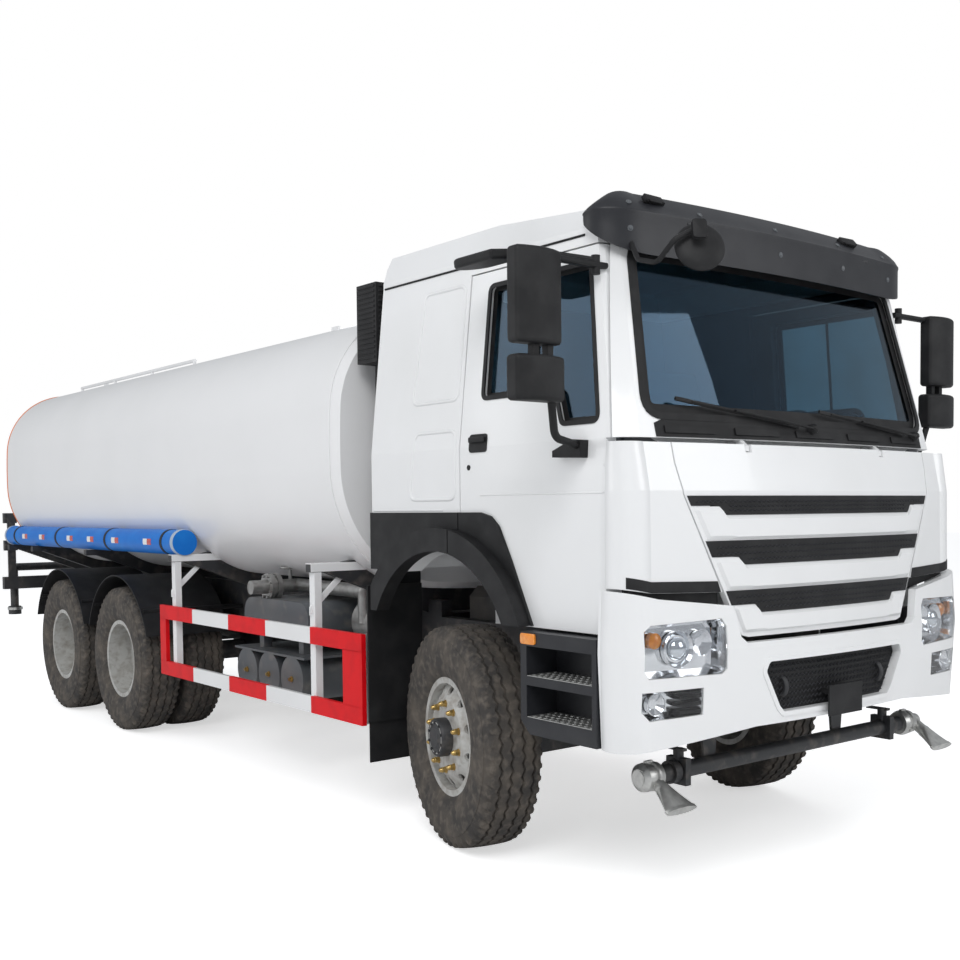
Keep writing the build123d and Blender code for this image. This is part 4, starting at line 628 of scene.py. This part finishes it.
# each door mirror: low and high z, inner x, width, depth of its housing
MIRRORS = ((2.370, 2.755, 1.352, 0.240, 0.120), (2.140, 2.325, 1.340, 0.255, 0.130))
for name, s in SIDES:
    on_side = lambda y, z, out, s=s: at(s * (side_x(z) + out), y, z)
    door = f"door_{name}"
    piece = Piece()
    band(piece, inset(window, -0.006), 0.022, on_side, -0.004, 0.004)
    band(piece, window, 0.030, on_side, -0.029, -0.026)
    piece.tube([on_side(-0.62, 2.228, -0.02), on_side(-0.62, 2.765, -0.02)], 0.008, 8)
    piece.make(f"window_seal_{name}", BLACK, door, "black_plastic")
    piece = Piece()
    grip = loop([(-0.335, 1.975), (-0.335, 2.062), (-0.195, 2.062), (-0.195, 1.975)], 0.02, 4)
    patch(piece, grip, on_side, -0.001, 0.004)
    piece.box(at(s * 1.163, -0.325, 2.022), at(s * 1.176, -0.205, 2.048), 0.004)
    piece.lathe(at(s * 1.159, -0.190, 1.905), (s, 0, 0),
                [(0, 0.013), (0.004, 0.013), (0.006, 0.009), (0.006, 0)], 16)
    piece.make(f"door_handle_{name}", BLACK, door, "black_plastic")
    piece = Piece()
    piece.tube([on_side(-1.14 + 0.86 * k / 12, 1.772, -0.001) for k in range(13)], 0.005, 8)
    piece.make(f"door_crease_{name}", WHITE, door, "white_paint")
    piece = Piece()
    for low, high in ((2.24, 2.80), (1.755, 2.09)):
        frame_line = fine(loop([(-0.075, low), (-0.075, high), (0.275, high), (0.325, low)], 0.05), 0.06)
        piece.tube([on_side(y, z, -0.004) for y, z in frame_line], 0.011, 10, closed=True, up=(s, 0, 0))
    piece.tube([on_side(0.03 + 0.64 * k / 10, 1.70, -0.001) for k in range(11)], 0.004, 8)
    piece.make(f"side_pressing_{name}", WHITE, "chassis", "white_paint")
    piece = Piece()
    for low, high, inner, width, depth in MIRRORS:
        y = -1.070 + depth / 3
        x0, x1 = sorted((s * (inner + 0.022), s * (inner + width - 0.022)))
        piece.box(at(x0, y - 0.001, low + 0.022), at(x1, y + 0.0015, high - 0.022), 0.001, 1)
    piece.make(f"mirror_glass_{name}", MIRROR, door)
    piece = Piece()
    piece.prism(loop([(-0.05, -0.024), (-0.05, 0.024), (0.05, 0.024), (0.05, -0.024)], 0.01, 4),
                at(s * 1.2365, -0.725, 1.128), (0, s, 0), (0, 0, 1), 0.008, 0.002)
    piece.make(f"side_lamp_{name}", AMBER, "chassis")
    # step treads
    piece = Piece()
    for z in (0.7755, 0.9605):
        piece.box(at(s * 1.062, -1.138, z), at(s * 1.236, -0.712, z + 0.004), 0.001, 1)
        for i in range(11):
            for j in range(4):
                piece.lathe(at(s * (1.085 + 0.042 * j), -1.115 + 0.038 * i, z + 0.003), (0, 0, 1),
                            [(0, 0.012), (0.003, 0.011), (0.004, 0.006), (0.002, 0.004), (0.002, 0)], 8)
    piece.make(f"step_treads_{name}", ALU, "chassis")

# ---------------------------------------------------------------- lamps and tow eyes in the bumper
on_bumper = lambda x, z, out: front(BUMPER, x, z, out)
for name, s in SIDES:
    lamp_line = fine(loop([(s * 0.737, 1.022), (s * 0.762, 1.002), (s * 1.138, 1.007), (s * 1.158, 1.042),
                           (s * 1.158, 1.198), (s * 1.129, 1.223), (s * 0.762, 1.233), (s * 0.737, 1.198)],
                          0.02, 3))
    fog_line = fine(loop([(s * 0.862, 0.837), (s * 1.128, 0.832), (s * 1.163, 0.871), (s * 1.163, 0.948),
                          (s * 0.862, 0.948)], 0.015, 3))
    for kind, line, depth in (("lamp", lamp_line, 0.075), ("fog", fog_line, 0.06)):
        piece = Piece()
        small = inset(line, 0.02)
        rows = [[on_bumper(x, z, -0.010) for x, z in line], [on_bumper(x, z, -depth) for x, z in small]]
        mx, mz = sum(x for x, z in small) / len(small), sum(z for x, z in small) / len(small)
        shrink = ((0.6, 0.0), (0.2, 0.0), (0.01, 0.0), (0.01, 0.006), (1.0, 0.006))
        for k, behind in shrink:
            rows.append([on_bumper(mx + (x - mx) * k, mz + (z - mz) * k, -depth - behind) for x, z in small])
        rows += [[on_bumper(x, z, -0.012) for x, z in inset(line, -0.0005)]]
        piece.grid(rows, closed=True)
        piece.make(f"{kind}_bowl_{name}", CHROME, "chassis")
        piece = Piece()
        patch(piece, line, on_bumper, -0.007, -0.004)
        lens = piece.make(f"{kind}_lens_{name}", LENS, "chassis", "lamp_glass")
        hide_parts("headlamps")
    toward = Vector((s * 0.12, -1, 0))
    piece = Piece()
    piece.lathe(on_bumper(s * 0.955, 1.115, -0.074), toward,
                [(0, 0.074), (0.030, 0.080), (0.034, 0.076), (0.012, 0.058), (0.012, 0.052)], 36)
    piece.lathe(on_bumper(s * 0.83, 1.135, -0.074), toward,
                [(0, 0.050), (0.026, 0.058), (0.029, 0.054), (0.004, 0.02), (0.004, 0)], 32)
    piece.make(f"projector_rings_{name}", CHROME, "chassis")
    piece = Piece()
    dome = [(0.034 * math.sin(a), 0.050 * math.cos(a)) for a in (0.3, 0.6, 0.9, 1.2, 1.4)]
    piece.lathe(on_bumper(s * 0.955, 1.115, -0.060), toward, [(0, 0.050)] + dome + [(0.034, 0)], 32)
    piece.make(f"projector_eye_{name}", MIRROR, "chassis")
    piece = Piece()
    piece.lathe(on_bumper(s * 1.07, 1.155, -0.070), toward,
                [(0, 0.034), (0.022, 0.034), (0.034, 0.018), (0.036, 0)], 24)
    piece.make(f"indicator_{name}", AMBER, "chassis")
    piece = Piece()
    piece.lathe(on_bumper(s * 1.075, 0.893, -0.058), toward,
                [(0, 0.042), (0.028, 0.048), (0.030, 0.044), (0.006, 0.02), (0.006, 0)], 28)
    piece.make(f"fog_ring_{name}", CHROME, "chassis")
    piece = Piece()
    for z in (0.852, 0.884, 0.916):
        rows = []
        for dz, dy in ((-0.008, -0.055), (0.008, -0.055), (0.008, -0.011), (-0.008, -0.011)):
            rows.append([on_bumper(s * x, z + dz, dy) for x in (0.868, 0.905, 0.94, 0.975)])
        piece.grid([[row[k] for row in rows] for k in range(4)], caps=True)
    piece.make(f"fog_fins_{name}", BLACK, "chassis", "black_plastic")
    piece = Piece()
    hook = [at(s * 0.36, y, z) for y, z in ((-1.40, 0.86), (-1.452, 0.87), (-1.462, 0.905), (-1.452, 0.94),
                                            (-1.40, 0.95))]
    piece.tube(bend(hook, 0.03), 0.012, 10, up=(1, 0, 0))
    piece.make(f"tow_eye_{name}", CHASSIS, "chassis", "chassis_paint")

# ---------------------------------------------------------------- bumper opening, grille and nose gaps
on_nose = lambda x, z, out: front(NOSE, x, z, out)
opening = fine(loop([(-0.390, 0.800), (-0.420, 0.830), (-0.510, 0.990), (-0.490, 1.030), (0.490, 1.030),
                     (0.510, 0.990), (0.420, 0.830), (0.390, 0.800)], 0.02, 3))
piece = Piece()
band(piece, inset(opening, -0.022), 0.021, on_bumper, -0.002, 0.0055)
piece.make("opening_lip", WHITE, "chassis", "white_paint")
piece = Piece()
for row in range(8):
    z = 0.818 + 0.026 * row
    reach = 0.405 + 0.085 * min(row, 6) / 6
    count = int(reach / 0.0135)
    piece.tube([on_bumper(reach * k / count, z + (0.0065 if k % 2 else -0.0065), -0.036)
                for k in range(-count, count + 1)], 0.0028, 5)
piece.make("opening_weave", DARK, "chassis", "dark_plastic")
# The strips lie over the flap's cut slots and are larger than them.
# each slot: top z and half width, strip's low z and half width, pocket's low z and half width
SLOTS = ((1.755, 0.893, 1.712, 0.872, 1.672, 0.690), (1.562, 0.797, 1.492, 0.762, 1.456, 0.585),
         (1.345, 0.688, 1.282, 0.657, 1.244, 0.490))


def pocket_z(x, slot):
    """Lower edge of a slot, which dips to its pocket in the middle."""
    t = min(max((slot[5] + 0.03 - abs(x)) / 0.035, 0.0), 1.0)
    return slot[2] + (slot[4] - slot[2]) * t * t * (3 - 2 * t)


ACROSS = [k / 60 for k in range(-60, 61)]
dark_slots = Piece()
for slot in SLOTS:
    rings = []
    for u in ACROSS:
        xt, xb = u * slot[1], u * slot[3]
        zb = pocket_z(xb, slot)
        rings.append([on_nose(xb, zb, 0.0005), on_nose(xb, zb, 0.003), on_nose(xt, slot[0], 0.003),
                      on_nose(xt, slot[0], 0.0005)])
    dark_slots.grid(rings, caps=True)
dark_slots.make("grille_slots", BLACK, "front_flap", "black_plastic")
weave = Piece()
for slot in SLOTS:
    low, high = slot[4] + 0.010, slot[0] - 0.016
    for row in range(3):
        z = low + (high - low) * (row + 0.5) / 3
        reach = (slot[5] if z < slot[2] else slot[3]) - 0.03
        count = int(reach / 0.014)
        weave.tube([on_nose(reach * k / count, z + (0.004 if k % 2 else -0.004), 0.0045)
                    for k in range(-count, count + 1)], 0.0022, 5)
weave.make("grille_weave", DARK, "front_flap", "dark_plastic")
slats = Piece()
for slot, (z_low, half_low) in zip(SLOTS, ((1.566, 0.797), (1.349, 0.688), (1.160, 0.603))):
    rings = []
    for u in ACROSS:
        xt, xb = u * (slot[3] - 0.012), u * (half_low - 0.012)
        zt = pocket_z(xt, slot) - 0.003
        edge = 0.015 * min(1.0, (1 - abs(u)) / 0.02)
        spots = ((0.0, -0.001), (0.0, 0.001), (0.12, 0.0005 + edge), (0.86, 0.0005 + edge), (1.0, 0.001),
                 (1.0, -0.001))
        rings.append([on_nose(xb + (xt - xb) * t, z_low + (zt - z_low) * t, out) for t, out in spots])
    slats.grid(rings, caps=True)
slats.make("grille_slats", WHITE, "front_flap", "white_paint", angle=25)
for name, s in SIDES:
    piece = Piece()
    gap = [(s * 0.700, 1.278), (s * 1.080, 1.325), (s * 1.185, 1.352), (s * 1.185, 1.392), (s * 1.080, 1.362),
           (s * 0.705, 1.350)]
    patch(piece, fine(gap, 0.05), on_nose, -0.040, -0.034)
    rows = []
    for k in range(17):
        t = k / 16
        x_low, z_low = (0.717 + (1.08 - 0.717) * t / 0.75, 1.343 + 0.010 * t / 0.75) if t < 0.75 else \
            (1.08 + 0.112 * (t - 0.75) / 0.25, 1.353 + 0.022 * (t - 0.75) / 0.25)
        z_high = z_low + 0.047
        rows.append([on_nose(s * x_low, z_low, 0.0005), on_nose(s * x_low, z_low, 0.003),
                     on_nose(s * (x_low + 0.018 * (1 - t)), z_high, 0.003),
                     on_nose(s * (x_low + 0.018 * (1 - t)), z_high, 0.0005)])
    piece.grid(rows, caps=True)
    piece.make(f"nose_gap_{name}", BLACK, "chassis", "black_plastic")

# ---------------------------------------------------------------- wheel nuts and hubs
NUTS = 10
for name, s in SIDES:
    out = Vector((math.cos(STEER), math.sin(STEER), 0)) * s
    # each wheel: label, body, middle, axle's direction, rim's face and hub's end along the axle
    wheels = [(f"front_{name}", f"front_wheel_{name}", at(s * KING, 0, TYRE_R) + out * HUB,
               out, 0.130, 0.190)]
    for row, y in REAR_AXLES:
        wheels.append((f"{row}_{name}", f"{row}_wheels_{name}", at(s * TWIN_MIDDLE, y, TYRE_R),
                       Vector((s, 0, 0)), 0.045, 0.135))
    for label, body, centre, axle, face, end in wheels:
        u = Vector((0, 0, 1))
        v = axle.cross(u)
        nuts, cover = Piece(), Piece()
        washer_and_nut = [(0, 0.020), (0.005, 0.020), (0.005, 0.016), (0.024, 0.016), (0.026, 0.013)]
        stud = [(0, 0.013), (0.010, 0.012), (0.017, 0.006), (0.018, 0)]
        for i in range(NUTS):
            t = 2 * math.pi * i / NUTS
            ray = u * math.cos(t) + v * math.sin(t)
            place = centre + axle * face + ray * 0.1675
            nuts.lathe(place, axle, washer_and_nut, 6)
            nuts.lathe(place + axle * 0.024, axle, stud, 12)
            bolt = centre + axle * (end - 0.001) + ray * 0.078
            cover.lathe(bolt, axle, [(0, 0.008), (0.007, 0.008), (0.008, 0.006), (0.008, 0)], 6)
        nuts.make(f"wheel_nuts_{label}", BRASS, body)
        length = end - face
        cover.lathe(centre + axle * (face + 0.002), axle,
                    [(0, 0.0975), (length - 0.012, 0.0975), (length - 0.003, 0.092), (length - 0.001, 0.060),
                     (length + 0.006, 0.050), (length + 0.006, 0)], 36)
        cover.make(f"hub_cover_{label}", CHASSIS, body, "chassis_paint")

# ---------------------------------------------------------------- side guards, hose tubes and air tanks
for name, s in SIDES:
    piece = Piece()
    x0, x1 = s * 1.2138, s * 1.2412
    for z in (0.54, 0.94):
        for y0, y1 in ((2.895, 3.452), (1.814, 2.332), (0.688, 1.253)):
            piece.box(at(x0, y0, z - 0.0012), at(x1, y1, z + 0.0962), 0.0)
    for y0, y1 in ((3.354, 3.4524), (0.6876, 0.89)):
        piece.box(at(x0, y0, 0.6345), at(x1, y1, 0.941), 0.0)
    piece.make(f"guard_red_{name}", RED_PAINT, "chassis")
    piece = Piece()
    for y in (1.26, 3.25):
        piece.prism([(1.236, 1.10), (1.236, 1.15), (0.985, 1.382), (0.935, 1.382)], at(0, y + 0.006 * s, 0),
                    (s, 0, 0), (0, 0, 1), 0.012, 0.002)
        piece.box(at(s * 0.80, y - 0.034, 1.3955), at(s * 1.2415, y + 0.034, 1.401), 0.001, 1)
        piece.box(at(s * 0.86, y - 0.0345, 1.352), at(s * 1.2415, y - 0.0305, 1.399), 0.001, 1)
    piece.make(f"guard_braces_{name}", WHITE, "chassis", "guard_paint")
    piece = Piece()
    for y in (3.42, 4.55, 5.75, 6.95):
        piece.lathe(at(s * TUBE_X, y - 0.02, TUBE_Z), (0, 1, 0),
                    [(0, TUBE_R), (0, 0.0925), (0.04, 0.0925), (0.04, TUBE_R)], 40)
        piece.box(at(s * 1.07, y - 0.02, 1.395), at(s * 1.10, y + 0.02, 1.43), 0.003)
    piece.make(f"tube_straps_{name}", BLACK, "chassis", "black_plastic")
    red, white = Piece(), Piece()
    for y in (3.60, 4.25, 4.80, 5.30, 6.05, 6.55):
        for strip, shift in ((red, 0.0), (white, 0.075)):
            ring = []
            for yy in (y + shift, y + shift + 0.073):
                arc = [math.radians(a) for a in (-14, -7, 0, 7, 14)]
                ring.append([at(s * (TUBE_X + r * math.cos(a)), yy, TUBE_Z + r * math.sin(a))
                             for r, way in ((0.0915, 1), (TUBE_R, -1)) for a in arc[::way]])
            strip.grid(ring, caps=True)
    red.make(f"reflector_red_{name}", RED, "chassis")
    white.make(f"reflector_white_{name}", WHITE, "chassis", "white_paint")
    piece = Piece()
    for y, way in ((3.2, -1), (7.26, 1)):
        piece.lathe(at(s * TUBE_X, y - way * 0.045, TUBE_Z), (0, way, 0),
                    [(0, TUBE_R), (0, 0.094), (0.038, 0.094), (0.0445, 0.088), (0.0445, 0.070),
                     (0.041, 0.066), (0.041, 0)], 40)
    cap_look = mat(f"cap_{name}", (0.42, 0.50, 0.60), 0.4, vary=(10, (0.36, 0.44, 0.55), 0.4, 0.7),
                   bump=(120, 0.1))
    piece.make(f"tube_caps_{name}", cap_look, "chassis")
piece = Piece()
for y in AIR_TANKS_Y:
    piece.lathe(at(-1.044, y, AIR_TANKS_Z), (-1, 0, 0),
                [(0, 0.020), (0.008, 0.020), (0.008, 0.013), (0.022, 0.012), (0.022, 0)], 6)
    piece.lathe(at(-0.9, y, 0.505), (0, 0, -1),
                [(-0.01, 0.014), (0.012, 0.014), (0.012, 0.008), (0.02, 0.008), (0.02, 0)], 8)
piece.make("tank_plugs", BRASS, "chassis")
piece = Piece()
for y in AIR_TANKS_Y:
    for x in (-0.96, -0.66):
        piece.lathe(at(x - 0.018, y, AIR_TANKS_Z), (1, 0, 0),
                    [(0, 0.1445), (0, 0.1475), (0.036, 0.1475), (0.036, 0.1445)], 40)
piece.make("tank_bands", CHASSIS, "chassis", "chassis_paint")

# ---------------------------------------------------------------- pump, intake, tank and rear
piece = Piece()
piece.lathe(at(-0.915, PUMP_Y, PUMP_Z), (-1, 0, 0),
            [(-0.02, 0.072), (-0.02, 0.088), (0.012, 0.088), (0.012, 0.047)], 32)
piece.lathe(at(-0.945, PUMP_Y, PUMP_Z), (-1, 0, 0),
            [(0, 0.088), (0.030, 0.088), (0.030, 0.047), (0.0, 0.047)], 32)
for i in range(8):
    t = 2 * math.pi * (i + 0.5) / 8
    piece.lathe(at(-0.905, PUMP_Y + 0.072 * math.cos(t), PUMP_Z + 0.072 * math.sin(t)), (-1, 0, 0),
                [(-0.02, 0.009), (0.085, 0.009), (0.085, 0)], 6)
piece.rod(at(-0.80, PUMP_Y, 1.25), at(-0.80, PUMP_Y, 1.33), 0.012)
rim_point = lambda t: at(-0.80 + 0.06 * math.cos(t), PUMP_Y + 0.06 * math.sin(t), 1.325)
piece.tube([rim_point(2 * math.pi * i / 20) for i in range(20)], 0.008, 8, closed=True)
for t in (0, 2.09, 4.19):
    piece.rod(at(-0.80, PUMP_Y, 1.325), rim_point(t), 0.005, 8)
piece.make("pump_fittings", STEEL, "chassis", "pump_metal")
piece = Piece()
for i in range(15):
    z = 2.535 + 0.0275 * i
    piece.box(at(-1.086, 0.765, z), at(-1.078, 0.935, z + 0.014), 0.003, 1)
    piece.box(at(-1.065, 0.744, z), at(-0.795, 0.752, z + 0.014), 0.003, 1)
piece.make("intake_ribs", BLACK, "chassis", "black_plastic")
# lines on the rims, where the tank's shell turns into its ends
for name, rim, look, slot, r in (("tank_rear_line", 7.260, ORANGE, None, 0.006),
                                 ("tank_front_weld", 1.070, TANK, "white_paint", 0.005)):
    ring = {(round(v.co.x, 3), round(v.co.z, 3)): v.co.copy() for v in nodes["tank"].data.vertices
            if abs(v.co.y - AX - rim) < 0.001 and math.hypot(v.co.x, v.co.z - TANK_Z) > 0.75}
    piece = Piece()
    in_order = sorted(ring.values(), key=lambda v: math.atan2(v.z - TANK_Z, v.x))
    piece.tube(in_order, r, 8, closed=True, up=(0, 1, 0))
    piece.make(name, look, "chassis", slot)
for name, s in SIDES:
    piece = Piece()
    for z in (1.38, 1.65):
        piece.box(at(s * 1.062, 7.538, z - 0.048), at(s * 1.178, 7.5435, z + 0.048), 0.002, 1)
    piece.make(f"rear_lamps_{name}", RED, "chassis")
    piece = Piece()
    piece.lathe(at(s * 1.07, 7.5885, 0.735), (0, 0, 1),
                [(0, 0.060), (0, 0.071), (0.025, 0.071), (0.025, 0.060)], 32)
    piece.make(f"rear_coupling_{name}", ALU, "chassis", "cast_aluminium")

# ---------------------------------------------------------------- camera, floor and light
# in pixels of the photo: its width, the focal length, and where the camera's axis meets it
PHOTO, FOCAL, AXIS_X, AXIS_Y = 960, 1173.1, 528.975, 562.457
SENSOR = 36
yaw, pitch, roll = math.radians(39.39), math.radians(-2.67), math.radians(-0.48)
ahead = Vector((math.sin(yaw) * math.cos(pitch), math.cos(yaw) * math.cos(pitch), math.sin(pitch)))
right = ahead.cross(Vector((0, 0, 1))).normalized()
up = right.cross(ahead)
rolled_right = right * math.cos(roll) + up * math.sin(roll)
rolled_up = up * math.cos(roll) - right * math.sin(roll)
cam = bpy.data.objects.new("camera", bpy.data.cameras.new("camera"))
cam.data.sensor_width = SENSOR
cam.data.lens = FOCAL * SENSOR / PHOTO
cam.data.shift_x = -(AXIS_X - PHOTO / 2) / PHOTO
cam.data.shift_y = (AXIS_Y - PHOTO / 2) / PHOTO
cam.data.clip_end = 200
basis = Matrix((rolled_right, rolled_up, -ahead)).transposed().to_4x4()
cam.matrix_world = Matrix.Translation(at(-4.530, -4.744, 1.710)) @ basis
bpy.context.scene.collection.objects.link(cam)
bpy.context.scene.camera = cam

floor_mesh = bpy.data.meshes.new("floor")
floor_mesh.from_pydata([(-60, -60, 0), (60, -60, 0), (60, 60, 0), (-60, 60, 0)], [], [(0, 1, 2, 3)])
floor = bpy.data.objects.new("floor", floor_mesh)
FLOOR = mat("floor", (0.90, 0.90, 0.90), 0.9, vary=(0.4, (0.885, 0.885, 0.885), 0.4, 0.7))
links = FLOOR.node_tree
glow, add = links.nodes.new("ShaderNodeEmission"), links.nodes.new("ShaderNodeAddShader")
seen = links.nodes.new("ShaderNodeMath")
seen.operation = "MULTIPLY"
seen.inputs[1].default_value = 0.58
links.links.new(links.nodes.new("ShaderNodeLightPath").outputs["Is Camera Ray"], seen.inputs[0])
links.links.new(seen.outputs[0], glow.inputs["Strength"])
links.links.new(links.nodes["Principled BSDF"].outputs[0], add.inputs[0])
links.links.new(glow.outputs[0], add.inputs[1])
links.links.new(add.outputs[0], links.nodes["Material Output"].inputs["Surface"])
floor_mesh.materials.append(FLOOR)
bpy.context.scene.collection.objects.link(floor)

world = bpy.data.worlds.new("world")
bpy.context.scene.world = world
world.use_nodes = True
tree = world.node_tree
ground = tree.nodes["Background"]
ground.inputs["Color"].default_value = (0.93, 0.96, 1.0, 1)
ground.inputs["Strength"].default_value = 0.45
clean = tree.nodes.new("ShaderNodeBackground")
clean.inputs["Color"].default_value = (1, 1, 1, 1)
clean.inputs["Strength"].default_value = 1.0
seen = tree.nodes.new("ShaderNodeLightPath")
mix = tree.nodes.new("ShaderNodeMixShader")
tree.links.new(seen.outputs["Is Camera Ray"], mix.inputs["Fac"])
tree.links.new(ground.outputs["Background"], mix.inputs[1])
tree.links.new(clean.outputs["Background"], mix.inputs[2])
tree.links.new(mix.outputs["Shader"], tree.nodes["World Output"].inputs["Surface"])


def lamp(name, place, target, size, power):
    data = bpy.data.lights.new(name, "AREA")
    data.size = size
    data.energy = power
    ob = bpy.data.objects.new(name, data)
    ob.location = place
    ob.rotation_euler = (Vector(target) - Vector(place)).to_track_quat("-Z", "Y").to_euler()
    bpy.context.scene.collection.objects.link(ob)


lamp("key", (-9, -11, 11), (0, 0, 1), 7, 950)
lamp("fill", (-11, 5, 6), (0, 1, 1.5), 8, 300)
lamp("front", (5, -14, 6), (0, -4, 1.5), 6, 300)
lamp("back", (9, 9, 8), (0, 1, 1.5), 8, 300)
bpy.context.scene.view_settings.view_transform = "Standard"
